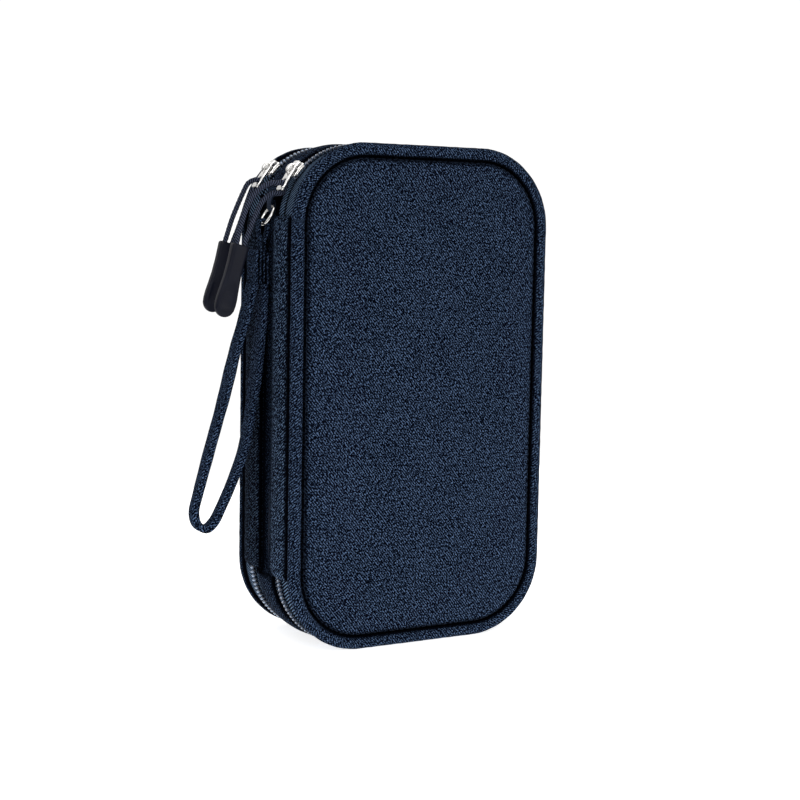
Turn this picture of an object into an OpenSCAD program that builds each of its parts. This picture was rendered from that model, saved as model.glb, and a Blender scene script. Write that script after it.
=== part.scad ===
// Double layer zip pouch for cables: two padded covers zipped to a middle band with a divider.
// Frame: origin at the centre of the resting face, +Z up, front cover towards -Y, spine towards -X.

/* [Pouch] */
// Width across the front face, mm
width = 110; // [80:1:160]
// Height of the standing pouch, mm
height = 190; // [150:1:260]
// Depth over both covers, mm
depth = 50; // [46:1:54]
// Radius of the four corners, mm
corner_r = 30; // [30:1:34]
// Diameter of the piped edge, mm
piping_d = 5; // [3.5:0.5:5]
// Thickness of the foam in each cover, mm
foam_t = 2; // [1:0.5:2]
// Thickness of the outer fabric, mm
fabric_t = 0.8; // [0.6:0.1:1]
// Thickness of the lining fabric, mm
lining_t = 0.6; // [0.4:0.1:0.8]

/* [Band and spine] */
// Half width of the fabric band between the two zippers, mm
band_half = 6; // [5:0.5:6]
// Thickness of that band, mm
band_t = 2.4; // [2:0.1:2.4]
// Depth of the valley between the two spine panels, mm
valley_depth = 4; // [3:0.5:4]
// Thickness of the spine panels, mm
spine_t = 3; // [2.5:0.5:3]

/* [Zippers] */
// Width of one zipper coil half, mm
coil_w = 1.5; // [1.2:0.1:1.5]
// Height of the coil above its tape, mm
coil_h = 1.3; // [1:0.1:1.3]
// Distance from the middle plane to each zipper's centre line, mm
zip_y = 12; // [11.8:0.1:12]
// Thickness of the zipper tape, mm
tape_t = 0.7; // [0.5:0.1:0.7]

/* [Sliders and pulls] */
// Position of the front slider round the corner, degrees
front_park = 38; // [36:1:45]
// Position of the rear slider round the corner, degrees
rear_park = 41; // [39:1:50]
// Thickness of the pull tabs, mm
tab_t = 0.9; // [0.7:0.1:0.9]
// Width of the pull tabs, mm
tab_w = 5; // [4.5:0.1:5]
// Diameter of the cord on each pull, mm
cord_d = 2; // [1.6:0.1:2]
// Thickness of the rubber grips, mm
grip_t = 4; // [3:0.5:4]

/* [Wrist strap] */
// Wire diameter of the strap ring, mm
ring_wire = 1.2; // [1:0.1:1.3]
// Radius of the strap ring to the wire's centre, mm
ring_r = 3.9; // [3.6:0.1:4]
// Width of the wrist strap, mm
strap_w = 8; // [6:0.5:9]
// Thickness of the wrist strap, mm
strap_t = 2; // [1.4:0.2:2]

/* [Interior] */
// Thickness of the divider board, mm
board_t = 1; // [0.8:0.1:1.2]
// Height of the elastic bands, mm
elastic_h = 24; // [18:1:26]
// Height of the front cover's mesh pocket, mm
front_pocket_h = 112; // [80:1:120]
// Travel of the inner pocket's zipper slider, mm
pocket_zip_run = 62; // [50:1:62]

/* [Hidden] */
$fn = 64;
half_w = width / 2;
half_d = depth / 2;
join_gap = 0.3;
// Insets from the silhouette
panel_inset = piping_d;
tape_inset = 1.7;
lining_inset = band_t;
tape_edge_y = half_d - piping_d;
chain_gap = 1;
coil_inset = tape_inset - coil_h;
tape_gap = 1.2;
// Zipper chains stop at the spine
spine_low = 28;
spine_high = 162;
valley_high = 170;
valley_low = 26;
spine_x = -half_w + 0.3;
valley_x = -half_w + valley_depth;
// The corner round which the sliders run
arc_x = -half_w + corner_r;
arc_z = height - corner_r;
// Slider, measured outwards from the corner's centre
ride_r = corner_r - tape_inset;
under_r0 = ride_r - 2.4;
under_r1 = ride_r - 1.6;
plate_r0 = corner_r - 0.05;
plate_r1 = corner_r + 0.75;
arch_r0 = plate_r1 + 2.35;
arch_r1 = arch_r0 + 0.8;
pivot_r = corner_r + 2;
eye_r = corner_r + 2.25;
eye_lag = 14.5;
slider_w = 6.5;
slider_half_deg = 7.9;
coil_start_lag = 7.5;
// Strap ring and its tab
ring_y = -1.2;
ring_slope = 121;
ring_top = [-52.9, 166.1];
ring_dir = [cos(ring_slope), -sin(ring_slope)];
ring_low = ring_top + 2 * ring_r * ring_dir;
loop_in = 1.3;
link_t = 0.9;
link_half = 1.5;
bundle_x = -61.4;
bundle_low = 137.5;
bundle_top = 150;
// Interior layers, measured from the middle plane
divider_lining_y = board_t / 2 + lining_t;
cover_in_y = half_d - fabric_t - foam_t - lining_t;

// Routes drawn in the X-Z plane, mm
front_cord_route = [
    [-72.1, 150.8], [-71.5, 154.1], [-69.7, 160.9], [-67.2, 167.0], [-63.4, 171.8], [-58.9, 174.2],
    [-55.97, 174.35], [-54.03, 174.74], [-52.86, 173.68], [-53.18, 172.35], [-54.1, 171.03], [-55.89, 170.63],
    [-58.6, 170.3], [-62.0, 167.4], [-64.9, 162.0], [-67.2, 156.4], [-68.7, 152.9], [-69.3, 150.3]
];
rear_cord_route = [
    [-67.0, 151.4], [-66.0, 154.3], [-63.9, 160.7], [-61.6, 166.2], [-59.3, 171.2], [-57.4, 174.6],
    [-55.17, 175.95], [-53.22, 176.24], [-52.11, 175.12], [-52.5, 173.81], [-53.48, 172.54], [-55.29, 172.24],
    [-56.3, 170.6], [-57.6, 167.9], [-59.3, 162.9], [-61.4, 157.3], [-63.0, 153.5], [-64.0, 150.7]
];
strap_route = [
    [-60.9, 137.5], [-61.8, 133.3], [-64.2, 123.9], [-67.6, 112.8], [-72.3, 94.3], [-77.6, 75.9],
    [-82.1, 59.6], [-83.6, 53.1], [-82.5, 48.4], [-79.0, 46.4], [-75.8, 48.8], [-73.2, 53.4],
    [-68.3, 63.9], [-63.9, 76.0], [-60.8, 92.4], [-58.7, 108.2], [-57.3, 123.2], [-57.1, 133.0],
    [-57.2, 137.5]
];
// Outline of a grip, along its length and across it
grip_outline = [
    [0, -3.3], [6, -3.0], [13, -3.2], [19, -3.8], [23.5, -3.8], [25.8, -2.6], [26.8, 0],
    [25.8, 2.6], [23.5, 3.8], [19, 3.8], [13, 3.2], [6, 3.0], [0, 3.3]
];
grip_tilt_front = 104.8;
grip_tilt_rear = 104.8;
front_grip_top = [-70.6, 151.7];
rear_grip_top = [-65.4, 152.3];

// Helpers: outlines and layers

module outline(inset) {
    w = width - 2 * inset;
    h = height - 2 * inset;
    r = corner_r - inset;
    translate([-w / 2, inset + r]) square([w, h - 2 * r]);
    translate([-w / 2 + r, inset]) square([w - 2 * r, h]);
    for (sx = [-1, 1])
        for (cz = [inset + r, inset + h - r])
            translate([sx * (w / 2 - r), cz]) circle(r = r);
}

// A layer of the rounded outline between two distances from the middle plane
module layer(inset, y0, y1) {
    translate([0, y1, 0])
        rotate([90, 0, 0])
            linear_extrude(height = y1 - y0)
                outline(inset);
}

module ring_band(inset, t, y0, y1) {
    translate([0, y1, 0])
        rotate([90, 0, 0])
            linear_extrude(height = y1 - y0)
                difference() {
                    outline(inset);
                    outline(inset + t);
                }
}

// The same band left open along the spine between two heights
module open_band(inset, t, y0, y1, low, high) {
    difference() {
        ring_band(inset, t, y0, y1);
        translate([-half_w - 1, y0 - 1, low])
            cube([9, y1 - y0 + 2, high - low]);
    }
}

module block(x0, x1, y0, y1, z0, z1) {
    translate([x0, y0, z0]) cube([x1 - x0, y1 - y0, z1 - z0]);
}

// A flat binding round an opening, with its outer corners cut to the rounded outline
module binding(inset, y0, y1, half_x, low, high, side, top) {
    intersection() {
        layer(inset, y0, y1);
        difference() {
            block(-half_x, half_x, y0, y1, low, high);
            block(-half_x + side, half_x - side, y0 - 1, y1 + 1, low + side, high - top);
        }
    }
}

// Part of a tube about the corner's centre, from one angle above the spine side to another
module arc_band(r0, r1, y0, y1, a0, a1) {
    translate([arc_x, 0, arc_z])
        rotate([90, 0, 0])
            rotate([0, 0, 180 - a1])
                rotate_extrude(angle = a1 - a0)
                    translate([r0, -y1])
                        square([r1 - r0, y1 - y0]);
}

// Children drawn with X outwards from the corner and Z back along the chain, set at an angle
module at_corner(angle, r, y) {
    translate([arc_x, y, arc_z])
        rotate([0, angle, 0])
            translate([-r, 0, 0])
                children();
}

module piping(y) {
    r = piping_d / 2;
    long_x = width - 2 * corner_r;
    long_z = height - 2 * corner_r;
    for (z = [r, height - r])
        translate([-long_x / 2, y, z]) rotate([0, 90, 0]) cylinder(r = r, h = long_x);
    for (x = [-half_w + r, half_w - r])
        translate([x, y, corner_r]) cylinder(r = r, h = long_z);
    for (q = [[-1, 1, 90], [-1, -1, 180], [1, -1, 270], [1, 1, 0]])
        translate([q[0] * (half_w - corner_r), y, q[1] > 0 ? height - corner_r : corner_r])
            rotate([90, 0, 0])
                rotate([0, 0, q[2]])
                    rotate_extrude(angle = 90)
                        translate([corner_r - r, 0])
                            circle(r = r);
}

// Helpers: curves through route points

function mix4(a, b, c, d, t) =
    0.5 * (2 * b + (c - a) * t + (2 * a - 5 * b + 4 * c - d) * t * t + (3 * b - a - 3 * c + d) * t * t * t);
function smooth(p, n) = [
    for (i = [0 : len(p) - 2])
        for (k = [0 : n - 1])
            mix4(p[max(i - 1, 0)], p[i], p[i + 1], p[min(i + 2, len(p) - 1)], k / n),
    p[len(p) - 1]
];
function way(p, i) =
    let (d = p[min(i + 1, len(p) - 1)] - p[max(i - 1, 0)]) d / norm(d);
function side(p, i, s) = let (d = way(p, i)) p[i] + s * [-d[1], d[0]];

// A round cord along a planar route
module cord(route, y, d, steps) {
    p = smooth(route, steps);
    n = len(p);
    sides = 8;
    points = [
        for (i = [0 : n - 1])
            for (k = [0 : sides - 1])
                let (a = 360 * k / sides, q = side(p, i, d / 2 * cos(a)))
                [q[0], y + d / 2 * sin(a), q[1]]
    ];
    walls = [
        for (i = [0 : n - 2])
            for (k = [0 : sides - 1])
                [i * sides + k, (i + 1) * sides + k, (i + 1) * sides + (k + 1) % sides, i * sides + (k + 1) % sides]
    ];
    first = [for (k = [0 : sides - 1]) k];
    last = [for (k = [sides - 1 : -1 : 0]) (n - 1) * sides + k];
    polyhedron(points = points, faces = concat(walls, [first, last]), convexity = 6);
}

// A flat strap along a planar route
module strap(route, y0, y1, t, steps) {
    p = smooth(route, steps);
    n = len(p);
    outer = [for (i = [0 : n - 1]) side(p, i, t / 2)];
    inner = [for (i = [n - 1 : -1 : 0]) side(p, i, -t / 2)];
    translate([0, y1, 0])
        rotate([90, 0, 0])
            linear_extrude(height = y1 - y0)
                polygon(concat(outer, inner));
}

// Slider round the corner: s is -1 for the front zipper and 1 for the rear one
module corner_slider(s, park) {
    a0 = park - slider_half_deg;
    a1 = park + slider_half_deg;
    inner = zip_y - slider_w / 2;
    outer = zip_y + slider_w / 2;
    under = zip_y + 0.6;
    post = 0.2;
    lip = 0.9;
    y_in = s < 0 ? -outer : inner;
    arc_band(plate_r0, plate_r1, y_in, y_in + slider_w, a0, a1);
    arc_band(under_r0, under_r1, s < 0 ? -under : inner, s < 0 ? -inner : under, a0, a1);
    arc_band(under_r1 - 0.1, plate_r0 + 0.1, s * zip_y - post, s * zip_y + post, a1 - 3.4, a1);
    arc_band(ride_r + 0.3, plate_r0 + 0.1, s < 0 ? -inner - lip : inner, s < 0 ? -inner : inner + lip, a0, a1);
    at_corner(park, 0, s * zip_y) bridge();
}

// The arch on the slider that holds the pull tab
module bridge() {
    foot_in = 1.6;
    foot_out = 2.6;
    half = 0.8;
    for (z = [-foot_out, foot_in])
        translate([-arch_r1, -half, z]) cube([arch_r1 - plate_r1 + 0.3, 2 * half, foot_out - foot_in]);
    translate([-arch_r1, -half, -foot_out]) cube([arch_r1 - arch_r0, 2 * half, 2 * foot_out]);
}

// Pull tab: pivot bar at the origin, eye along +X
module pull_tab(reach) {
    bar_r = 0.55;
    slot_half = 1.15;
    slot_end = 3.3;
    eye_half = 1.6;
    end_bar = 1.1;
    eye_in = reach - end_bar / 2 - 3.3;
    difference() {
        translate([-bar_r, -tab_w / 2, -tab_t / 2]) cube([reach + end_bar / 2 + bar_r, tab_w, tab_t]);
        translate([-bar_r - 1, -slot_half, -1]) cube([slot_end + bar_r + 1, 2 * slot_half, 2]);
        translate([eye_in, -eye_half, -1]) cube([reach - end_bar / 2 - eye_in, 2 * eye_half, 2]);
    }
    translate([0, -slot_half - 0.1, 0])
        rotate([-90, 0, 0])
            cylinder(r = bar_r, h = 2 * slot_half + 0.2);
}

module parked_tab(s, park) {
    pivot = [arc_x - pivot_r * cos(park), arc_z + pivot_r * sin(park)];
    eye = [arc_x - eye_r * cos(park - eye_lag), arc_z + eye_r * sin(park - eye_lag)];
    run = eye - pivot;
    translate([pivot[0], s * zip_y, pivot[1]])
        rotate([0, -atan2(run[1], run[0]), 0])
            pull_tab(norm(run));
}

module grip(top, tilt, y) {
    translate([top[0], y + grip_t / 2, top[1]])
        rotate([90, 0, 0])
            rotate([0, 0, -tilt])
                linear_extrude(height = grip_t)
                    polygon(grip_outline);
}

// Band and spine

module mid_gusset() {
    color([0.05, 0.09, 0.19])
        open_band(0, band_t, -band_half, band_half, valley_low, valley_high);
}

module gusset_lining() {
    color([0.06, 0.07, 0.12])
        open_band(lining_inset, lining_t, -zip_y + tape_gap / 2, zip_y - tape_gap / 2, valley_low, valley_high);
}

module spine_panel(y0, y1) {
    block(spine_x, spine_x + spine_t, y0, y1, spine_low, spine_high);
}

module front_spine_panel() {
    color([0.05, 0.09, 0.19]) spine_panel(-tape_edge_y + join_gap, -band_half);
}

module rear_spine_panel() {
    color([0.05, 0.09, 0.19]) spine_panel(band_half, tape_edge_y - join_gap);
}

// Floor of the valley with a wall up to each panel
module spine_valley() {
    wall = 0.8;
    color([0.04, 0.07, 0.15]) {
        block(valley_x, valley_x + wall, -tape_edge_y + 1, tape_edge_y - 1, spine_low, spine_high);
        block(valley_x, valley_x + wall, -band_half, band_half, valley_low, valley_high);
        for (s = [-1, 1])
            block(valley_x - 0.9, valley_x + wall, s < 0 ? -band_half - wall : band_half,
                s < 0 ? -band_half : band_half + wall, spine_high, spine_high + 4);
    }
}

module anchor_tab() {
    color([0.04, 0.05, 0.09]) {
        web_t = 0.6;
        outer = loop_in + web_t;
        translate([ring_top[0], ring_y + link_half, ring_top[1]])
            rotate([90, 0, 0])
                linear_extrude(height = 2 * link_half)
                    difference() {
                        union() {
                            circle(r = outer);
                            translate([-outer, 0]) square([2 * outer, valley_high - ring_top[1]]);
                        }
                        circle(r = loop_in);
                        translate([-loop_in, 0]) square([2 * loop_in, valley_high - ring_top[1] + 1]);
                    }
    }
}

// Zippers

module inner_tape(s) {
    y0 = band_half;
    y1 = zip_y - tape_gap / 2;
    open_band(tape_inset, tape_t, s < 0 ? -y1 : y0, s < 0 ? -y0 : y1, spine_low, spine_high);
}

module outer_tape(s) {
    y0 = zip_y + tape_gap / 2;
    y1 = tape_edge_y;
    open_band(tape_inset, tape_t, s < 0 ? -y1 : y0, s < 0 ? -y0 : y1, spine_low - join_gap, spine_high + join_gap);
}

module coil(s, outside, park) {
    near = outside ? zip_y + chain_gap / 2 : zip_y - chain_gap / 2 - coil_w;
    y0 = s < 0 ? -near - coil_w : near;
    start = arc_z + corner_r * sin(park - coil_start_lag);
    open_band(coil_inset, coil_h, y0, y0 + coil_w, spine_low - join_gap, start);
}

module front_zip_tape_inner() { color([0.06, 0.10, 0.20]) inner_tape(-1); }
module front_zip_coil_inner() { color([0.10, 0.15, 0.28]) coil(-1, false, front_park); }
module rear_zip_tape_inner() { color([0.06, 0.10, 0.20]) inner_tape(1); }
module rear_zip_coil_inner() { color([0.10, 0.15, 0.28]) coil(1, false, rear_park); }
module front_zip_tape_outer() { color([0.06, 0.10, 0.20]) outer_tape(-1); }
module front_zip_coil_outer() { color([0.10, 0.15, 0.28]) coil(-1, true, front_park); }
module rear_zip_tape_outer() { color([0.06, 0.10, 0.20]) outer_tape(1); }
module rear_zip_coil_outer() { color([0.10, 0.15, 0.28]) coil(1, true, rear_park); }

// Divider and its fittings

module divider_layer(y0, y1) {
    inset = lining_inset + lining_t;
    difference() {
        layer(inset, y0, y1);
        block(-half_w - 1, valley_x + 0.8, y0 - 1, y1 + 1, valley_low, valley_high);
    }
}

module divider_board() {
    color([0.30, 0.31, 0.33]) divider_layer(-board_t / 2, board_t / 2);
}

module divider_front_lining() {
    color([0.08, 0.09, 0.13]) divider_layer(-divider_lining_y, -board_t / 2);
}

module divider_rear_lining() {
    color([0.08, 0.09, 0.13]) divider_layer(board_t / 2, divider_lining_y);
}

// Flat elastic sewn down in loops, with a ridge at each row of stitches
module elastic_band(z) {
    half_x = 44;
    t = 1;
    loops = 5;
    y = -divider_lining_y;
    block(-half_x, half_x, y - t, y, z, z + elastic_h);
    for (i = [0 : loops])
        translate([-half_x + 2 + i * (2 * half_x - 4) / loops - 0.6, y - t - 0.4, z])
            cube([1.2, 0.5, elastic_h]);
}

module elastic_band_upper() { color([0.03, 0.03, 0.04]) elastic_band(138); }
module elastic_band_middle() { color([0.03, 0.03, 0.04]) elastic_band(98); }
module elastic_band_lower() { color([0.03, 0.03, 0.04]) elastic_band(16); }

module card_pocket() {
    color([0.08, 0.09, 0.13]) {
        block(-44, 44, -divider_lining_y - 0.8, -divider_lining_y, 46, 88);
        block(-44, 44, -divider_lining_y - 1.6, -divider_lining_y - 0.8, 84, 88);
    }
}

module divider_mesh() {
    color([0.10, 0.10, 0.12])
        block(-42, 42, divider_lining_y, divider_lining_y + 0.4, 14, 130);
}

module divider_mesh_binding() {
    color([0.03, 0.03, 0.04])
        binding(lining_inset + lining_t + 0.3, divider_lining_y, divider_lining_y + 1, 45, 11, 136, 3, 6);
}

// Covers: s is -1 for the front and 1 for the rear

module cover_layer(s, near, far) {
    layer(panel_inset, s < 0 ? -far : near, s < 0 ? -near : far);
}

module front_panel_fabric() { color([0.05, 0.09, 0.19]) cover_layer(-1, half_d - fabric_t, half_d); }
module rear_panel_fabric() { color([0.05, 0.09, 0.19]) cover_layer(1, half_d - fabric_t, half_d); }
module front_panel_foam() {
    color([0.5, 0.5, 0.5]) cover_layer(-1, half_d - fabric_t - foam_t, half_d - fabric_t);
}
module rear_panel_foam() {
    color([0.5, 0.5, 0.5]) cover_layer(1, half_d - fabric_t - foam_t, half_d - fabric_t);
}
module front_panel_lining() {
    color([0.08, 0.09, 0.13]) cover_layer(-1, cover_in_y, half_d - fabric_t - foam_t);
}
module rear_panel_lining() {
    color([0.08, 0.09, 0.13]) cover_layer(1, cover_in_y, half_d - fabric_t - foam_t);
}
module front_piping() { color([0.05, 0.09, 0.19]) piping(-half_d + piping_d / 2); }
module rear_piping() { color([0.05, 0.09, 0.19]) piping(half_d - piping_d / 2); }

module front_mesh_pocket() {
    color([0.10, 0.10, 0.12])
        block(-42, 42, -cover_in_y, -cover_in_y + 0.4, 15, 12 + front_pocket_h - 6);
}

module front_mesh_binding() {
    color([0.03, 0.03, 0.04])
        binding(panel_inset + 0.5, -cover_in_y, -cover_in_y + 1, 45, 12, 12 + front_pocket_h, 3, 6);
}

// Inner zip pocket on the rear cover
pocket_y = cover_in_y - 1.9;
pocket_zip_z = 132;

module rear_pocket_binding() {
    color([0.03, 0.03, 0.04])
        binding(panel_inset + 0.5, pocket_y, cover_in_y, 45, 12, 152, 3, 4);
}

module rear_pocket_mesh() {
    color([0.10, 0.10, 0.12]) {
        block(-42, 42, pocket_y, pocket_y + 0.4, 15, pocket_zip_z - 8);
        block(-42, 42, pocket_y, pocket_y + 0.4, pocket_zip_z + 8, 148);
    }
}

module rear_pocket_tape() {
    color([0.06, 0.10, 0.20])
        for (z = [pocket_zip_z - 8, pocket_zip_z + 0.4])
            block(-42, 42, pocket_y, pocket_y + 0.4, z, z + 7.6);
}

module rear_pocket_coil() {
    color([0.10, 0.15, 0.28])
        for (z = [pocket_zip_z - 1.7, pocket_zip_z + 0.4])
            block(-42, 42, pocket_y - 1, pocket_y, z, z + 1.3);
}

module pocket_slider() {
    color([0.80, 0.80, 0.82]) {
        x = -36;
        top = pocket_y - 1.3;
        half = 2.9;
        block(x, x + 7, top - 0.7, top, pocket_zip_z - half, pocket_zip_z + half);
        block(x, x + 7, pocket_y + 0.7, pocket_y + 1.3, pocket_zip_z - half, pocket_zip_z + half);
        block(x, x + 1.6, top - 0.1, pocket_y + 0.8, pocket_zip_z - 0.12, pocket_zip_z + 0.12);
        for (s = [-1, 1])
            block(x, x + 7, top - 0.1, pocket_y - 0.3, pocket_zip_z + s * 2.45 - 0.45, pocket_zip_z + s * 2.45 + 0.45);
        for (q = [1, 5])
            block(x + q, x + q + 1, top - 3, top - 0.6, pocket_zip_z - 0.7, pocket_zip_z + 0.7);
        block(x + 1, x + 6, top - 3.6, top - 2.9, pocket_zip_z - 0.7, pocket_zip_z + 0.7);
    }
}

module pocket_pull_tab() {
    color([0.80, 0.80, 0.82])
        translate([-32.5, pocket_y - 3.1, pocket_zip_z])
            rotate([90, 0, 0])
                difference() {
                    union() {
                        translate([-0.5, -2.3, -0.4]) cube([14.5, 4.6, 0.8]);
                        translate([0, -1.2, 0]) rotate([-90, 0, 0]) cylinder(r = 0.5, h = 2.4);
                    }
                    difference() {
                        translate([-1.5, -1.05, -1]) cube([4.8, 2.1, 2]);
                        translate([0, -1.2, 0]) rotate([-90, 0, 0]) cylinder(r = 0.5, h = 2.4);
                    }
                    translate([9.5, -1.2, -1]) cube([3.2, 2.4, 2]);
                }
}

// Sliders, pulls and strap

module front_slider() { color([0.80, 0.80, 0.82]) corner_slider(-1, front_park); }
module rear_slider() { color([0.80, 0.80, 0.82]) corner_slider(1, rear_park); }
module front_pull_tab() { color([0.80, 0.80, 0.82]) parked_tab(-1, front_park); }
module rear_pull_tab() { color([0.80, 0.80, 0.82]) parked_tab(1, rear_park); }
module front_pull_cord() { color([0.03, 0.03, 0.03]) cord(front_cord_route, -zip_y, cord_d, 2); }
module rear_pull_cord() { color([0.03, 0.03, 0.03]) cord(rear_cord_route, zip_y, cord_d, 2); }
module front_pull_grip() { color([0.04, 0.04, 0.06]) grip(front_grip_top, grip_tilt_front, -zip_y); }
module rear_pull_grip() { color([0.04, 0.04, 0.06]) grip(rear_grip_top, grip_tilt_rear, zip_y); }

module strap_ring() {
    centre = ring_top + ring_r * ring_dir;
    color([0.80, 0.80, 0.82])
        translate([centre[0], ring_y, centre[1]])
            rotate([0, ring_slope, 0])
                rotate_extrude()
                    translate([ring_r, 0])
                        circle(d = ring_wire);
}

// Folded webbing through the ring, then a neck down to the bundle
module strap_link() {
    neck = ring_low[1] - bundle_top;
    color([0.05, 0.09, 0.19])
        translate([ring_low[0], ring_y + link_half, ring_low[1]])
            rotate([90, 0, 0])
                linear_extrude(height = 2 * link_half)
                    difference() {
                        union() {
                            circle(r = loop_in + link_t);
                            translate([-1.4, -neck]) square([2.8, neck - loop_in - 0.2]);
                        }
                        circle(r = loop_in);
                    }
}

// The ends of the strap folded and sewn together in layers
module strap_bundle() {
    layers = 4;
    t = 1.4;
    color([0.05, 0.09, 0.19]) {
        for (i = [0 : layers - 1])
            block(bundle_x + i * t, bundle_x + (i + 1) * t,
                ring_y - strap_w / 2 + 0.3 * i, ring_y + strap_w / 2 - 0.3 * i, bundle_low, bundle_top);
    }
}

module wrist_strap() {
    color([0.05, 0.09, 0.19])
        strap(strap_route, ring_y - strap_w / 2, ring_y + strap_w / 2, strap_t, 4);
}

mid_gusset();
gusset_lining();
front_spine_panel();
rear_spine_panel();
spine_valley();
front_zip_tape_inner();
front_zip_coil_inner();
rear_zip_tape_inner();
rear_zip_coil_inner();
divider_board();
divider_front_lining();
divider_rear_lining();
elastic_band_upper();
elastic_band_middle();
elastic_band_lower();
card_pocket();
divider_mesh();
divider_mesh_binding();
anchor_tab();
front_panel_fabric();
front_panel_foam();
front_panel_lining();
front_piping();
front_zip_tape_outer();
front_zip_coil_outer();
front_mesh_pocket();
front_mesh_binding();
rear_panel_fabric();
rear_panel_foam();
rear_panel_lining();
rear_piping();
rear_zip_tape_outer();
rear_zip_coil_outer();
rear_pocket_binding();
rear_pocket_mesh();
rear_pocket_tape();
rear_pocket_coil();
pocket_slider();
pocket_pull_tab();
front_slider();
front_pull_tab();
front_pull_cord();
front_pull_grip();
rear_slider();
rear_pull_tab();
rear_pull_cord();
rear_pull_grip();
strap_ring();
strap_link();
strap_bundle();
wrist_strap();
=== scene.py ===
import bisect
import math
import random

import bmesh
import bpy
from mathutils import Matrix, Vector


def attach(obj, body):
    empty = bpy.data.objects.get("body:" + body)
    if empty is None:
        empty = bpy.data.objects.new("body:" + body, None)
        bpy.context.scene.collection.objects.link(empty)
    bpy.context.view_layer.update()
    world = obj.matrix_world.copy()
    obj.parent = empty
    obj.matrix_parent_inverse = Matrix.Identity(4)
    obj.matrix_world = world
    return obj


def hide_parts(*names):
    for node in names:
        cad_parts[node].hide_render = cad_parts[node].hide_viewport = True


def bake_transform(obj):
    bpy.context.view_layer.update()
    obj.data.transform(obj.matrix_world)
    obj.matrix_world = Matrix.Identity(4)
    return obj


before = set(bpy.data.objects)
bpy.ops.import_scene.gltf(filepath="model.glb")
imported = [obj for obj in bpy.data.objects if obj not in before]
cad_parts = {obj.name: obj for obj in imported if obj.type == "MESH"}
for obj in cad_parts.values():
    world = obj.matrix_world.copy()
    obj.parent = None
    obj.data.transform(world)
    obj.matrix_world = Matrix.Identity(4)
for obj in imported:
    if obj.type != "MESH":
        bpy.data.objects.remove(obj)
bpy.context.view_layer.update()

MM = 0.001
# The pouch, mm
HALF_W = 55.0
HEIGHT = 190.0
HALF_D = 25.0
CORNER_R = 30.0
PIPE_R = 2.5
PANEL_INSET = 5.0
ZIP_Y = 12.0
SPINE_LOW = 28.0
SPINE_HIGH = 162.0
VALLEY_LOW = 26.0
VALLEY_HIGH = 170.0
LINING_Y = 21.6
PARKS = (38.0, 41.0)
ARC = Vector((-25.0, 0.0, 160.0))
RING_Y = -1.2
RING_TOP = Vector((-52.9, RING_Y, 166.1))
RING_DEG = 121.0
RING_R = 3.9
RING_WIRE_R = 0.6
X_AXIS, Y_AXIS, Z_AXIS = Vector((1, 0, 0)), Vector((0, 1, 0)), Vector((0, 0, 1))


# ---------------------------------------------------------------- camera

CAM_AZ = -28.94
CAM_EL = 5.68
CAM_ROLL = 1.03
CAM_DIST = 602.47
CAM_TARGET = Vector((0.0, 0.0, 95.0))
CAM_LENS = 68.79

az, el, roll = (math.radians(v) for v in (CAM_AZ, CAM_EL, CAM_ROLL))
back = Vector((math.sin(az) * math.cos(el), -math.cos(az) * math.cos(el), math.sin(el)))
right = Vector((math.cos(az), math.sin(az), 0.0))
up = back.cross(right)
right_r = right * math.cos(roll) + up * math.sin(roll)
up_r = up * math.cos(roll) - right * math.sin(roll)
cam_data = bpy.data.cameras.new("camera")
cam = bpy.data.objects.new("camera", cam_data)
bpy.context.scene.collection.objects.link(cam)
place = (CAM_TARGET + back * CAM_DIST) * MM
cam.matrix_world = Matrix((
    (right_r.x, up_r.x, back.x, place.x),
    (right_r.y, up_r.y, back.y, place.y),
    (right_r.z, up_r.z, back.z, place.z),
    (0, 0, 0, 1),
))
cam_data.sensor_width = 36.0
cam_data.lens = CAM_LENS
cam_data.shift_x = 0.00954
cam_data.shift_y = -0.01049
cam_data.clip_start = 0.01
cam_data.clip_end = 50.0
cam_data.dof.use_dof = False
bpy.context.scene.camera = cam


# ---------------------------------------------------------------- materials

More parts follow.
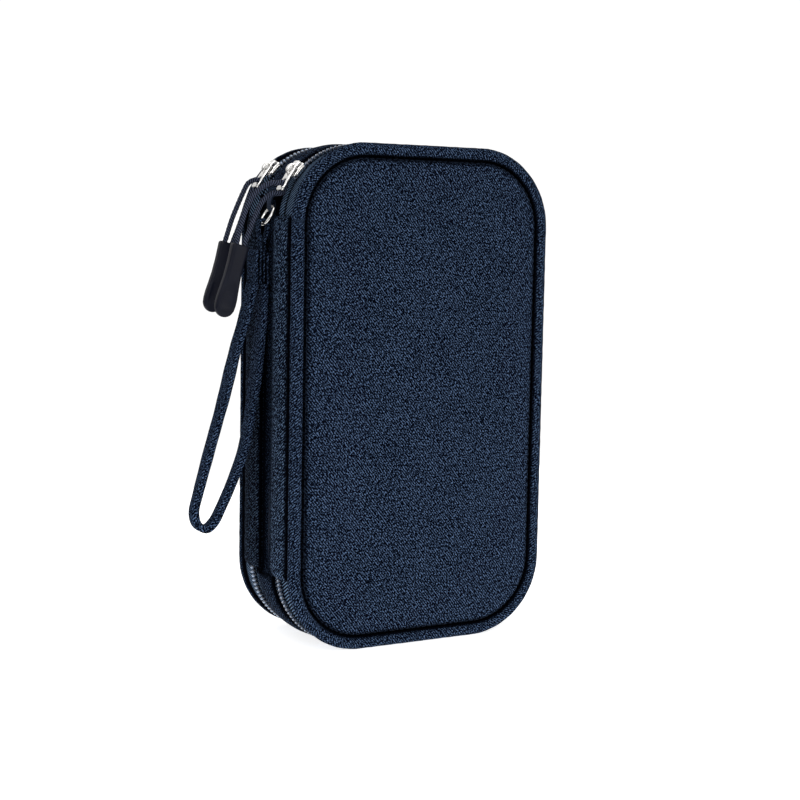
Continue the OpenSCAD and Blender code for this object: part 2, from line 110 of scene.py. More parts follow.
class Graph:
    """A short way to write a material's nodes."""

    def __init__(self, name):
        self.mat = bpy.data.materials.new(name)
        self.mat.use_nodes = True
        self.tree = self.mat.node_tree
        self.shader = self.tree.nodes["Principled BSDF"]
        self.out = self.tree.nodes["Material Output"]

    def new(self, kind):
        return self.tree.nodes.new("ShaderNode" + kind)

    def feed(self, socket, value):
        if isinstance(value, bpy.types.NodeSocket):
            self.tree.links.new(value, socket)
        else:
            socket.default_value = value

    def math(self, op, a, b=None, c=None):
        n = self.new("Math")
        n.operation = op
        for i, v in enumerate((a, b, c)):
            if v is not None:
                self.feed(n.inputs[i], v)
        return n.outputs[0]

    def add(self, a, b):
        return self.math("ADD", a, b)

    def mul(self, a, b):
        return self.math("MULTIPLY", a, b)

    def muladd(self, a, b, c):
        return self.math("MULTIPLY_ADD", a, b, c)

    def sine(self, value, period):
        return self.math("SINE", self.mul(value, 2 * math.pi / period))

    def mix(self, fac, a, b):
        n = self.new("Mix")
        n.data_type = "RGBA"
        self.feed(n.inputs[0], fac)
        self.feed(n.inputs[6], a)
        self.feed(n.inputs[7], b)
        return n.outputs[2]

    def ramp(self, value, stops):
        n = self.new("ValToRGB")
        while len(n.color_ramp.elements) > len(stops):
            n.color_ramp.elements.remove(n.color_ramp.elements[-1])
        while len(n.color_ramp.elements) < len(stops):
            n.color_ramp.elements.new(0.5)
        for e, (at, colour) in zip(n.color_ramp.elements, stops):
            e.position = at
            e.color = (*colour, 1.0)
        self.feed(n.inputs[0], value)
        return n.outputs[0]

    def weave(self):
        """Place on the cloth in mm: along, across, and the amount of painted shade."""
        n = self.new("Attribute")
        n.attribute_name = "weave"
        n.attribute_type = "GEOMETRY"
        return n.outputs["Vector"]

    def flat(self, vector):
        """The same place without its third value."""
        n = self.new("VectorMath")
        n.operation = "MULTIPLY"
        n.inputs[1].default_value = (1.0, 1.0, 0.0)
        self.feed(n.inputs[0], vector)
        return n.outputs[0]

    def turned(self, vector, degrees, scale=None):
        """Coordinates whose first axis runs at an angle, then scaled along the new axes."""
        n = self.new("Mapping")
        n.inputs["Rotation"].default_value = (0, 0, -math.radians(degrees))
        self.feed(n.inputs["Vector"], vector)
        if scale is None:
            return n.outputs[0]
        m = self.new("Mapping")
        m.inputs["Scale"].default_value = scale
        self.feed(m.inputs["Vector"], n.outputs[0])
        return m.outputs[0]

    def noise(self, vector, scale, detail=2.0, rough=0.5):
        n = self.new("TexNoise")
        self.feed(n.inputs["Vector"], vector)
        n.inputs["Scale"].default_value = scale
        n.inputs["Detail"].default_value = detail
        n.inputs["Roughness"].default_value = rough
        return n.outputs[0]

    def parts(self, vector):
        n = self.new("SeparateXYZ")
        self.feed(n.inputs[0], vector)
        return n.outputs

    def bump(self, height, strength, distance):
        n = self.new("Bump")
        n.inputs["Strength"].default_value = strength
        n.inputs["Distance"].default_value = distance
        self.feed(n.inputs["Height"], height)
        return n.outputs[0]

    def finish(self, **sockets):
        for key, value in sockets.items():
            self.feed(self.shader.inputs[key.replace("_", " ")], value)
        return self.mat


def heather_twill(name, dark, mid, light, slant=52.0, fine=1.22):
    """Heather cloth: short pale flecks of yarn lying along twill ribs in a near-black ground."""
    g = Graph(name)
    whole = g.weave()
    place = g.flat(whole)
    main = g.noise(g.turned(place, slant, (0.95 * fine, 2.1 * fine, 1.0)), 1.0, 1.0, 0.7)
    cross = g.noise(g.turned(place, slant + 88.0, (1.0 * fine, 2.2 * fine, 1.0)), 1.0, 1.0, 0.7)
    _, y, _ = g.parts(g.turned(place, slant))
    rib = g.muladd(g.sine(y, 0.88), 0.5, 0.5)
    broad = g.noise(place, 0.05, 3.0, 0.6)
    shade = g.add(g.mul(main, 0.60), g.mul(cross, 0.40))
    shade = g.add(shade, g.muladd(rib, 0.10, -0.05))
    shade = g.add(shade, g.muladd(broad, 0.026, -0.013))
    colour = g.ramp(shade, [(0.495, dark), (0.535, mid), (0.60, light)])
    # Painted shade: the third weave value darkens the colour towards half the dark yarn in seams, folds and
    # hollows.
    _, _, painted_shade = g.parts(whole)
    colour = g.mix(painted_shade, colour, (*(0.5 * c for c in dark), 1.0))
    normal = g.bump(g.add(g.mul(rib, 0.35), shade), 0.8, 0.00015)
    return g.finish(Base_Color=colour, Normal=normal, Roughness=0.95, Specular_IOR_Level=0.02)


def slanted_tape(name, dark, mid, light):
    """Woven zipper tape: close ribs that slant across it."""
    g = Graph(name)
    whole = g.weave()
    place = g.flat(whole)
    u, v, _ = g.parts(place)
    line = g.sine(g.add(u, g.mul(v, 0.55)), 1.3)
    line01 = g.muladd(line, 0.5, 0.5)
    speck = g.noise(place, 1.8, 1.0, 0.6)
    shade = g.add(g.mul(line01, 0.75), g.mul(speck, 0.25))
    colour = g.ramp(shade, [(0.32, dark), (0.60, mid), (0.86, light)])
    # Painted shade: the third weave value darkens the colour towards half the dark yarn in seams, folds and
    # hollows.
    _, _, painted_shade = g.parts(whole)
    colour = g.mix(painted_shade, colour, (*(0.5 * c for c in dark), 1.0))
    height = g.add(line01, g.mul(speck, 0.4))
    return g.finish(Base_Color=colour, Normal=g.bump(height, 0.8, 0.0002), Roughness=0.9,
                    Specular_IOR_Level=0.03)


def plain_cloth(name, dark, light):
    """Plain over and under weave."""
    g = Graph(name)
    place = g.weave()
    u, v, _ = g.parts(place)
    a = g.sine(u, 0.45)
    b = g.sine(v, 0.45)
    check = g.muladd(g.mul(a, b), 0.5, 0.5)
    speck = g.noise(place, 1.6, 2.0)
    shade = g.add(g.mul(check, 0.4), g.mul(speck, 0.6))
    colour = g.ramp(shade, [(0.25, dark), (0.75, light)])
    return g.finish(Base_Color=colour, Normal=g.bump(check, 0.6, 0.0001), Roughness=0.88,
                    Specular_IOR_Level=0.08, Sheen_Weight=0.01)


def ribbed_elastic(name, dark, light, pitch=1.1):
    g = Graph(name)
    place = g.weave()
    u, v, _ = g.parts(place)
    rib = g.math("ABSOLUTE", g.sine(v, 2 * pitch))
    knit = g.muladd(g.sine(u, 0.6), 0.5, 0.5)
    height = g.add(rib, g.mul(knit, 0.35))
    shade = g.add(g.mul(height, 0.5), g.mul(g.noise(place, 1.4), 0.3))
    colour = g.ramp(shade, [(0.2, dark), (0.85, light)])
    return g.finish(Base_Color=colour, Normal=g.bump(height, 0.9, 0.0003), Roughness=0.8,
                    Specular_IOR_Level=0.12, Sheen_Weight=0.02)


NET_PITCH = 1.9


def net_cloth(name, yarn):
    """Open net: round holes in a diamond layout, see-through between the yarns."""
    g = Graph(name)
    place = g.weave()
    u, v, _ = g.parts(place)
    a = g.sine(g.add(u, v), 2 * NET_PITCH)
    b = g.sine(g.math("SUBTRACT", u, v), 2 * NET_PITCH)
    web = g.math("ABSOLUTE", g.mul(a, b))
    hole = g.math("GREATER_THAN", web, 0.34)
    clear = g.new("BsdfTransparent")
    mixed = g.new("MixShader")
    speck = g.noise(place, 3.0)
    g.finish(Base_Color=g.ramp(speck, [(0.3, yarn), (0.8, tuple(1.8 * c for c in yarn))]), Roughness=0.7,
             Specular_IOR_Level=0.15)
    g.feed(mixed.inputs[0], hole)
    g.feed(mixed.inputs[1], g.shader.outputs[0])
    g.feed(mixed.inputs[2], clear.outputs[0])
    g.tree.links.new(mixed.outputs[0], g.out.inputs[0])
    return g.mat


def coil_nylon(name, colour, pale):
    """Nylon coil: darker at the root of each turn, with a painted glint that pales it at its crest."""
    g = Graph(name)
    place = g.weave()
    _, v, _ = g.parts(place)
    speck = g.noise(place, 1.2, 2.0)
    crest = g.add(g.mul(v, 0.42), g.muladd(speck, 0.3, -0.15))
    return g.finish(Base_Color=g.ramp(crest, [(0.2, colour), (0.62, pale)]),
                    Roughness=g.muladd(speck, 0.12, 0.16), Specular_IOR_Level=0.5,
                    Coat_Weight=0.3, Coat_Roughness=0.1, Normal=g.bump(speck, 0.2, 0.00005))


def chrome_metal(name, tint):
    """Plated die-cast metal with faint unevenness and rubbing marks."""
    g = Graph(name)
    at = g.new("TexCoord").outputs["Object"]
    uneven = g.noise(at, 260.0, 2.0, 0.5)
    rub = g.noise(g.turned(at, 25.0, (1500.0, 250.0, 600.0)), 1.0, 1.0)
    roughness = g.muladd(rub, 0.14, 0.15)
    colour = g.ramp(uneven, [(0.3, tuple(0.88 * c for c in tint)), (0.7, tint)])
    return g.finish(Base_Color=colour, Metallic=1.0, Roughness=roughness, Normal=g.bump(uneven, 0.05, 0.0001))


def soft_rubber(name, colour, pale):
    g = Graph(name)
    at = g.new("TexCoord").outputs["Object"]
    grit = g.noise(at, 2600.0, 2.0, 0.7)
    broad = g.noise(at, 160.0, 2.0)
    mixv = g.add(g.mul(grit, 0.4), g.mul(broad, 0.6))
    return g.finish(Base_Color=g.ramp(mixv, [(0.3, colour), (0.75, pale)]),
                    Roughness=g.muladd(broad, 0.12, 0.34), Specular_IOR_Level=0.14,
                    Normal=g.bump(grit, 0.25, 0.00006))


def braid(name, dark, light):
    """Braided cord: strands that wind round the cord with dark gaps between them."""
    g = Graph(name)
    place = g.weave()
    u, v, _ = g.parts(place)
    a = g.sine(g.add(u, g.mul(v, 0.55)), 0.95)
    fine = g.noise(g.turned(place, -30.0, (1.2, 4.0, 1.0)), 1.0, 1.0)
    shade = g.add(g.muladd(a, 0.30, 0.30), g.mul(fine, 0.4))
    colour = g.ramp(shade, [(0.3, dark), (0.78, light)])
    return g.finish(Base_Color=colour, Normal=g.bump(shade, 0.7, 0.00015), Roughness=0.7,
                    Specular_IOR_Level=0.04)


def thread_cloth(name, colour):
    g = Graph(name)
    twist = g.noise(g.weave(), 5.0, 2.0)
    return g.finish(Base_Color=g.ramp(twist, [(0.3, tuple(0.6 * c for c in colour)), (0.7, colour)]),
                    Roughness=0.7, Specular_IOR_Level=0.1, Normal=g.bump(twist, 0.4, 0.00005))


NAVY_DARK = (0.0002, 0.0006, 0.0030)
NAVY_MID = (0.0022, 0.0058, 0.0166)
NAVY_LIGHT = (0.0960, 0.1550, 0.2760)
M_FABRIC = heather_twill("navy_heather_twill", NAVY_DARK, NAVY_MID, NAVY_LIGHT)
M_STRAP = heather_twill("strap_heather_twill", NAVY_DARK, NAVY_MID, NAVY_LIGHT, slant=40.0)
M_SPINE = heather_twill("spine_heather_twill", NAVY_DARK, (0.0030, 0.0076, 0.0205), (0.1350, 0.2130, 0.3500),
                        slant=38.0, fine=0.9)
M_TAPE = slanted_tape("zip_tape_weave", (0.0004, 0.0012, 0.0040), (0.0060, 0.0150, 0.0380),
                      (0.1800, 0.2800, 0.4300))
M_LINING = plain_cloth("lining_weave", (0.006, 0.009, 0.018), (0.028, 0.036, 0.058))
M_WEBBING = ribbed_elastic("dark_webbing", (0.0010, 0.0022, 0.006), (0.042, 0.064, 0.118), pitch=0.8)
M_ELASTIC = ribbed_elastic("ribbed_elastic", (0.003, 0.003, 0.004), (0.020, 0.020, 0.024))
M_NET = net_cloth("open_net", (0.010, 0.010, 0.013))
M_COIL = coil_nylon("coil_nylon_dark", (0.004, 0.009, 0.022), (0.030, 0.050, 0.095))
# A brighter copy of the coil for the outer rows: its pale crests are a painted glint.
M_COIL_GLINT = coil_nylon("coil_nylon_painted_glint", (0.010, 0.020, 0.045), (0.44, 0.55, 0.74))
M_CHROME = chrome_metal("plated_metal", (0.84, 0.83, 0.81))
M_RUBBER = soft_rubber("soft_rubber", (0.0020, 0.0028, 0.0080), (0.0046, 0.0060, 0.0145))
M_CORD = braid("braided_cord", (0.0004, 0.0005, 0.0014), (0.078, 0.094, 0.150))
M_THREAD = thread_cloth("sewing_thread", (0.012, 0.020, 0.038))
M_FOAM = soft_rubber("foam_edge", (0.10, 0.10, 0.11), (0.16, 0.16, 0.17))


# ---------------------------------------------------------------- mesh helpers

def link(name, data):
    """Puts new data into the scene."""
    obj = bpy.data.objects.new(name, data)
    bpy.context.scene.collection.objects.link(obj)
    return obj


def write_weave(mesh, places):
    layer = mesh.attributes.new("weave", "FLOAT_VECTOR", "POINT")
    layer.data.foreach_set("vector", [c for p in places for c in (*p, 0.0)[:3]])


def make(name, verts, faces, mat, weave):
    """A mesh object from points in mm."""
    mesh = bpy.data.meshes.new(name)
    mesh.from_pydata([tuple(c * MM for c in v) for v in verts], [], faces)
    mesh.materials.append(mat)
    write_weave(mesh, weave)
    mesh.polygons.foreach_set("use_smooth", [True] * len(mesh.polygons))
    mesh.update()
    return link(name, mesh)


def ring_faces(rows, n, base=0, closed=False, caps=True):
    """Quads between rings of n points, and a face over each open end."""
    faces = []
    for r in range(rows if closed else rows - 1):
        q = (r + 1) % rows
        for i in range(n):
            j = (i + 1) % n
            faces.append((base + r * n + i, base + r * n + j, base + q * n + j, base + q * n + i))
    if caps and not closed:
        faces.append(tuple(base + i for i in range(n)))
        faces.append(tuple(base + (rows - 1) * n + i for i in reversed(range(n))))
    return faces


def loft(name, rings, mat, weave=None):
    """A closed skin over rings of points."""
    verts = [p for ring in rings for p in ring]
    faces = ring_faces(len(rings), len(rings[0]))
    return face_out(make(name, verts, faces, mat, weave or [(0, 0)] * len(verts)))


def distances(points):
    """How far along a line each of its points lies."""
    out = [0.0]
    for a, b in zip(points, points[1:]):
        out.append(out[-1] + math.dist(a, b))
    return out


def face_out(obj, weld=None, bridge=False):
    """Turns a closed mesh's faces outwards, after welding its points or bridging its open edges."""
    bm = bmesh.new()
    bm.from_mesh(obj.data)
    if weld:
        bmesh.ops.remove_doubles(bm, verts=bm.verts, dist=weld)
    if bridge:
        bmesh.ops.bridge_loops(bm, edges=[e for e in bm.edges if e.is_boundary])
    bmesh.ops.recalc_face_normals(bm, faces=bm.faces)
    bm.to_mesh(obj.data)
    bm.free()
    return obj


def inset_of(x, z):
    """How far a place in the X-Z plane lies inside the pouch's outline, mm."""
    cx = abs(x) - (HALF_W - CORNER_R)
    cz = abs(z - HEIGHT / 2) - (HEIGHT / 2 - CORNER_R)
    if cx > 0 and cz > 0:
        return CORNER_R - math.hypot(cx, cz)
    return min(HALF_W - abs(x), HEIGHT / 2 - abs(z - HEIGHT / 2))


def rise(a, b, value):
    """0 below a, 1 above b, smooth between; falls when a is the larger."""
    t = min(1.0, max(0.0, (value - a) / (b - a)))
    return t * t * (3 - 2 * t)


def write_painted_shade(obj, depth):
    """Writes how much painted shade each point carries: depth(x, y, z) from 0 to 1."""
    for v, d in zip(obj.data.vertices, obj.data.attributes["weave"].data):
        d.vector.z = min(1.0, max(0.0, depth(*(c / MM for c in v.co))))


def settle(obj, body, slot, *replaced):
    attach(obj, body)
    if replaced:
        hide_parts(*replaced)
    return obj


class Rim:
    """The outline from the spine's foot round the bottom, the far side and the top, back to the spine."""

    def __init__(self, low=SPINE_LOW, high=SPINE_HIGH):
        cx, z0, z1 = HALF_W - CORNER_R, CORNER_R, HEIGHT - CORNER_R
        self.foot = math.degrees(math.asin(max(0.0, CORNER_R - low) / CORNER_R))
        self.head = math.degrees(math.asin(max(0.0, high - z1) / CORNER_R))
        quarter = CORNER_R * math.pi / 2
        self.parts = [
            (CORNER_R * math.radians(90 - self.foot), "arc", (-cx, z0), 180 + self.foot, None),
            (2 * cx, "line", (-cx, 0.0), (1, 0), (0, -1)),
            (quarter, "arc", (cx, z0), 270, None),
            (z1 - z0, "line", (HALF_W, z0), (0, 1), (1, 0)),
            (quarter, "arc", (cx, z1), 0, None),
            (2 * cx, "line", (cx, HEIGHT), (-1, 0), (0, 1)),
            (CORNER_R * math.radians(90 - self.head), "arc", (-cx, z1), 90, None),
        ]
        self.length = sum(part[0] for part in self.parts)

    def at(self, s):
        """Point and outward normal in the X-Z plane at distance s, mm."""
        for n, (length, kind, origin, a, b) in enumerate(self.parts):
            if s <= length or n == len(self.parts) - 1:
                if kind == "line":
                    return origin[0] + a[0] * s, origin[1] + a[1] * s, b[0], b[1]
                t = math.radians(a) + s / CORNER_R
                c, q = math.cos(t), math.sin(t)
                return origin[0] + CORNER_R * c, origin[1] + CORNER_R * q, c, q
            s -= length

    def at_angle(self, degrees):
        """Distance to the place on the last corner that is so many degrees above the spine side."""
        return self.length - CORNER_R * math.radians(degrees - self.head)


RIM = Rim()
BAND_RIM = Rim(VALLEY_LOW, VALLEY_HIGH)


def sweep_rim(name, profile, mat, rim=RIM, step=2.0, wobble=None):
    """Sweeps a closed profile of (inset, y) points along the outline."""
    count = max(2, int(round(rim.length / step)))
    across = distances(profile)
    verts, weave = [], []
    for k in range(count + 1):
        s = rim.length * k / count
        x, z, nx, nz = rim.at(s)
        for i, (inset, y) in enumerate(profile):
            d = inset + (wobble(s, i) if wobble else 0.0)
            verts.append((x - nx * d, y, z - nz * d))
            weave.append((s, across[i]))
    return face_out(make(name, verts, ring_faces(count + 1, len(profile)), mat, weave))


def rounded(points, radius, steps=3):
    """Rounds the corners of a closed loop of points."""
    out = []
    n = len(points)
    for i in range(n):
        p = Vector(points[i])
        a, b = Vector(points[i - 1]) - p, Vector(points[(i + 1) % n]) - p
        r = min(radius, a.length / 2.05, b.length / 2.05)
        start, end = p + a.normalized() * r, p + b.normalized() * r
        for k in range(steps + 1):
            t = k / steps
            out.append(tuple((1 - t) ** 2 * start + 2 * t * (1 - t) * p + t * t * end))
    return out


def spline(points, steps):
    """Catmull-Rom points through a route."""
    pts = [Vector(p) for p in points]
    out = []
    for i in range(len(pts) - 1):
        a, b, c, d = pts[max(i - 1, 0)], pts[i], pts[i + 1], pts[min(i + 2, len(pts) - 1)]
        for k in range(steps):
            t = k / steps
            out.append(0.5 * (2 * b + (c - a) * t + (2 * a - 5 * b + 4 * c - d) * t * t
                              + (3 * b - a - 3 * c + d) * t ** 3))
    out.append(pts[-1])
    return out


def even(points, step):
    """The same line with points at even distances."""
    lengths = distances(points)
    total = lengths[-1]
    count = max(2, int(round(total / step)))
    out, i = [], 0
    for k in range(count + 1):
        s = total * k / count
        while i < len(lengths) - 2 and lengths[i + 1] < s:
            i += 1
        span = lengths[i + 1] - lengths[i]
        t = (s - lengths[i]) / span if span > 1e-9 else 0.0
        out.append(points[i].lerp(points[i + 1], min(1.0, max(0.0, t))))
    return out


def frames(points, hint=Vector((0, 1, 0)), closed=False):
    """Tangent, side and up at each point, with the side kept near the hint."""
    out = []
    n = len(points)
    for i in range(n):
        if closed:
            t = points[(i + 1) % n] - points[i - 1]
        else:
            t = points[min(i + 1, n - 1)] - points[max(i - 1, 0)]
        t = t.normalized()
        s = (hint - t * hint.dot(t)).normalized()
        out.append((t, s, t.cross(s)))
    return out


def sweep(name, points, section, mat, hint=Vector((0, 1, 0)), closed=False, shape=None):
    """Sweeps a closed section of (side, up) points along a line; shape(run, a, b) may change a point."""
    across = distances(section)
    runs = distances(points)
    verts, weave = [], []
    for p, run, (_, side, up) in zip(points, runs, frames(points, hint, closed)):
        for (a, b), round_it in zip(section, across):
            if shape:
                a, b = shape(run, a, b)
            verts.append(tuple(p + side * a + up * b))
            weave.append((run, round_it))
    return face_out(make(name, verts, ring_faces(len(points), len(section), closed=closed), mat, weave))


def circle(radius, sides, radius_b=None):
    turns = (2 * math.pi * i / sides for i in range(sides))
    return [(radius * math.cos(t), (radius if radius_b is None else radius_b) * math.sin(t)) for t in turns]


def flat_section(width, thick, corner=0.45, steps=3):
    w, t = width / 2, thick / 2
    return rounded([(-w, -t), (w, -t), (w, t), (-w, t)], min(corner * thick, t), steps)


def join(name, pieces, mat):
    """One object from many."""
    verts, faces, weave = [], [], []
    for o in pieces:
        base = len(verts)
        me = o.data
        verts += [tuple(c / MM for c in v.co) for v in me.vertices]
        faces += [tuple(base + i for i in p.vertices) for p in me.polygons]
        if "weave" in me.attributes:
            weave += [tuple(d.vector) for d in me.attributes["weave"].data]
        else:
            weave += [(0, 0, 0)] * len(me.vertices)
        bpy.data.objects.remove(o)
    return make(name, verts, faces, mat, weave)


STITCH = [(-0.5, 0.35, -0.12), (-0.36, 0.9, 0.03), (0.0, 1.0, 0.10), (0.36, 0.9, 0.03), (0.5, 0.35, -0.12)]
STITCH_SIDES = 5


def stitches(name, points, normals, pitch=2.5, length=1.8, radius=0.14):
    """A row of stitches along a line, lying on the side its normals point to."""
    lengths = distances(points)

    def at(s):
        s = min(max(s, 0.0), lengths[-1])
        i = min(max(bisect.bisect_left(lengths, s) - 1, 0), len(lengths) - 2)
        span = lengths[i + 1] - lengths[i]
        t = (s - lengths[i]) / span if span > 1e-9 else 0.0
        return points[i].lerp(points[i + 1], t), normals[i].lerp(normals[i + 1], t).normalized()

    verts, faces, weave = [], [], []
    for c in range(int(lengths[-1] / pitch)):
        mid = (c + 0.5) * pitch
        faces += ring_faces(len(STITCH), STITCH_SIDES, len(verts))
        for f, fat, lift in STITCH:
            p, normal = at(mid + f * length)
            ahead = at(mid + f * length + 0.05)[0] - p
            t = ahead.normalized() if ahead.length > 1e-9 else Vector((1, 0, 0))
            side = t.cross(normal).normalized()
            for k, (a, b) in enumerate(circle(radius * fat, STITCH_SIDES)):
                verts.append(tuple(p + normal * (lift + b) + side * a))
                weave.append((f * length + mid, k * 0.2))
    return make(name, verts, faces, M_THREAD, weave)


def row_of_stitches(name, points, normal, body, slot, **sizes):
    """A settled row whose stitches all lie on the same side."""
    return settle(stitches(name, points, [normal] * len(points), **sizes), body, slot)


def flat_part(name, loops, thick, bevel, matrix, mat):
    """A flat plate with holes and softened edges, from closed loops drawn in mm."""
    curve = bpy.data.curves.new(name, "CURVE")
    curve.dimensions = "2D"
    curve.fill_mode = "BOTH"
    curve.extrude = (thick / 2 - bevel) * MM
    curve.bevel_depth = bevel * MM
    curve.bevel_resolution = 2
    for loop in loops:
        sp = curve.splines.new("POLY")
        sp.points.add(len(loop) - 1)
        for p, (x, y) in zip(sp.points, loop):
            p.co = (x * MM, y * MM, 0, 1)
        sp.use_cyclic_u = True
    tmp = link(name + "_tmp", curve)
    bpy.context.view_layer.update()
    mesh = bpy.data.meshes.new_from_object(tmp.evaluated_get(bpy.context.evaluated_depsgraph_get()))
    bpy.data.objects.remove(tmp)
    mesh.name = name
    mesh.materials.clear()
    mesh.materials.append(mat)
    mesh.transform(matrix)
    obj = link(name, mesh)
    face_out(obj, weld=1e-7)
    mesh.polygons.foreach_set("use_smooth", [True] * len(mesh.polygons))
    mesh.set_sharp_from_angle(angle=math.radians(35))
    return obj


def basis(origin, x, y, z):
    """A matrix in metres from an origin in mm and three axes."""
    o = Vector(origin) * MM
    return Matrix(((x[0], y[0], z[0], o[0]), (x[1], y[1], z[1], o[1]), (x[2], y[2], z[2], o[2]), (0, 0, 0, 1)))


# ---------------------------------------------------------------- cords first

FRONT_ROUTE = [
    (-72.1, 150.8), (-71.5, 154.1), (-69.7, 160.9), (-67.2, 167.0), (-63.4, 171.8), (-58.9, 174.2),
    (-55.97, 174.35), (-54.03, 174.74), (-52.86, 173.68), (-53.18, 172.35), (-54.1, 171.03), (-55.89, 170.63),
    (-58.6, 170.3), (-62.0, 167.4), (-64.9, 162.0), (-67.2, 156.4), (-68.7, 152.9), (-69.3, 150.3)]
REAR_ROUTE = [
    (-67.0, 151.4), (-66.0, 154.3), (-63.9, 160.7), (-61.6, 166.2), (-59.3, 171.2), (-57.4, 174.6),
    (-55.17, 175.95), (-53.22, 176.24), (-52.11, 175.12), (-52.5, 173.81), (-53.48, 172.54), (-55.29, 172.24),
    (-56.3, 170.6), (-57.6, 167.9), (-59.3, 162.9), (-61.4, 157.3), (-63.0, 153.5), (-64.0, 150.7)]
STRAP_ROUTE = [
    (-60.9, 137.5), (-61.8, 133.3), (-64.2, 123.9), (-67.6, 112.8), (-72.3, 94.3), (-77.6, 75.9),
    (-82.1, 59.6), (-83.6, 53.1), (-82.5, 48.4), (-79.0, 46.4), (-75.8, 48.8), (-73.2, 53.4),
    (-68.3, 63.9), (-63.9, 76.0), (-60.8, 92.4), (-58.7, 108.2), (-57.3, 123.2), (-57.1, 133.0),
    (-57.2, 137.5)]
CORD_D = 2.0
STRAP_W = 8.0
STRAP_T = 1.9


def line_length(points):
    return distances(points)[-1]


def free_cord(line, step):
    """Works out a cord's length and its points at even steps, and keeps neither."""
    round(line_length(line) * MM, 4)
    [tuple(p * MM) for p in even(line, step)]


def pull_cord(name, route, y, body, node):
    """A braided cord whose strands stand out of its round section."""
    line = even(spline([(x, y, z) for x, z in route], 8), 0.22)

    def strands(run, a, b):
        turn = math.atan2(b, a)
        lift = 1.0 + 0.055 * math.cos(4 * turn + run * 2.6) * math.cos(4 * turn - run * 2.6) \
            + 0.05 * math.cos(2 * turn + run * 3.6)
        return a * lift, b * lift

    cord = sweep(name, line, circle(CORD_D / 2 * 0.95, 16), M_CORD, shape=strands)
    settle(cord, body, "cord", node)
    free_cord(line, 1.0)


pull_cord("front_pull_cord_braid", FRONT_ROUTE, -ZIP_Y, "front_puller", "front_pull_cord")
pull_cord("rear_pull_cord_braid", REAR_ROUTE, ZIP_Y, "rear_puller", "rear_pull_cord")

strap_line = even(spline([(x, RING_Y, z) for x, z in STRAP_ROUTE], 8), 1.0)
STRAP_RUN = line_length(strap_line)


def strap_shape(run, a, b):
    # A sewn tube of cloth: thicker at its folded edge, softly uneven along its length
    wave = 1.0 + 0.05 * math.sin(run * 0.21) + 0.03 * math.sin(run * 0.57 + 1.0)
    bulge = 1.0 + 0.22 * math.exp(-((abs(a) - STRAP_W / 2 + 0.9) / 0.7) ** 2)
    # The cloth gathers towards the foot of the loop
    t = run / STRAP_RUN
    gather = rise(0.16, 0.46, t) * rise(0.84, 0.60, t)
    return a * wave * (1.0 - 0.42 * gather), b * bulge * (1.0 + 0.25 * gather)


strap = sweep("wrist_strap_cloth", strap_line, flat_section(STRAP_W, STRAP_T, 0.5, 5), M_STRAP,
              shape=strap_shape)
settle(strap, "wrist_strap", "navy_fabric", "wrist_strap")
free_cord(strap_line, 2.0)


# ---------------------------------------------------------------- covers

def ring_points(inset, counts=(66, 26, 22)):
    """The rounded outline at an inset, as the same number of points whatever the inset."""
    a, b = HALF_W - inset, HEIGHT / 2 - inset
    r = max(CORNER_R - inset, 0.35 * a)
    cz = HEIGHT / 2
    tall, wide, turn = counts
    out = []
    for n, kind, p, q in (
        (tall, "line", (-a, cz + b - r), (-a, cz - b + r)), (turn, 180, (-a + r, cz - b + r), None),
        (wide, "line", (-a + r, cz - b), (a - r, cz - b)), (turn, 270, (a - r, cz - b + r), None),
        (tall, "line", (a, cz - b + r), (a, cz + b - r)), (turn, 0, (a - r, cz + b - r), None),
        (wide, "line", (a - r, cz + b), (-a + r, cz + b)), (turn, 90, (-a + r, cz + b - r), None),
    ):
        for k in range(n):
            t = k / n
            if kind == "line":
                out.append((p[0] + (q[0] - p[0]) * t, p[1] + (q[1] - p[1]) * t))
            else:
                ang = math.radians(kind + 90 * t)
                out.append((p[0] + r * math.cos(ang), p[1] + r * math.sin(ang)))
    return out


def wave_noise(seed):
    """A smooth random function of two lengths in mm."""
    r = random.Random(seed)
    terms = [(r.uniform(0.02, 0.12), r.uniform(0, 6.28), r.uniform(0, 6.28), r.uniform(0.4, 1.0))
             for _ in range(14)]

    def value(x, z):
        return sum(amp * math.sin(f * (x * math.cos(d) + z * math.sin(d)) + ph) for f, d, ph, amp in terms) / 7.0
    return value


def shell(name, mat, side, face, back, insets, seed):
    """A closed, crowned layer of a cover: face(d) and back(d) give the distances from the middle at inset d."""
    lumps = wave_noise(seed)
    pucker = random.Random(seed + 1)
    phase = [pucker.uniform(0, 6.28) for _ in range(4)]
    verts, weave, faces = [], [], []
    n = len(ring_points(PANEL_INSET))
    for front in (True, False):
        for d in insets:
            ring = ring_points(d)
            for (x, z), run in zip(ring, distances(ring)):
                if front:
                    deep = max(0.0, d - PANEL_INSET)
                    near = math.exp(-max(0.0, d - 6.2) / 2.6) * min(1.0, deep / 1.4)
                    gather = sum(math.sin(run * f + p) for f, p in zip((0.83, 1.37, 0.52, 2.1), phase)) * 0.05
                    y = face(d) + near * gather + 0.16 * lumps(x, z) * min(1.0, deep / 6)
                else:
                    y = back(d)
                verts.append((x, side * y, z))
                weave.append((x * side, z))
    rows = len(insets)
    for base in (0, rows * n):
        faces += ring_faces(rows, n, base, caps=False)
        faces.append(tuple(base + (rows - 1) * n + i for i in range(n)))
    for i in range(n):
        j = (i + 1) % n
        faces.append((i, j, rows * n + j, rows * n + i))
    return face_out(make(name, verts, faces, mat, weave))


def between(points, d):
    """The value at d on a line drawn through (place, value) points."""
    if d <= points[0][0]:
        return points[0][1]
    for (d0, v0), (d1, v1) in zip(points, points[1:]):
        if d <= d1:
            t = (d - d0) / (d1 - d0)
            return v0 + (v1 - v0) * t
    return points[-1][1]


SWELL_CAP = 0.45
SWELL_FRAMES = 10


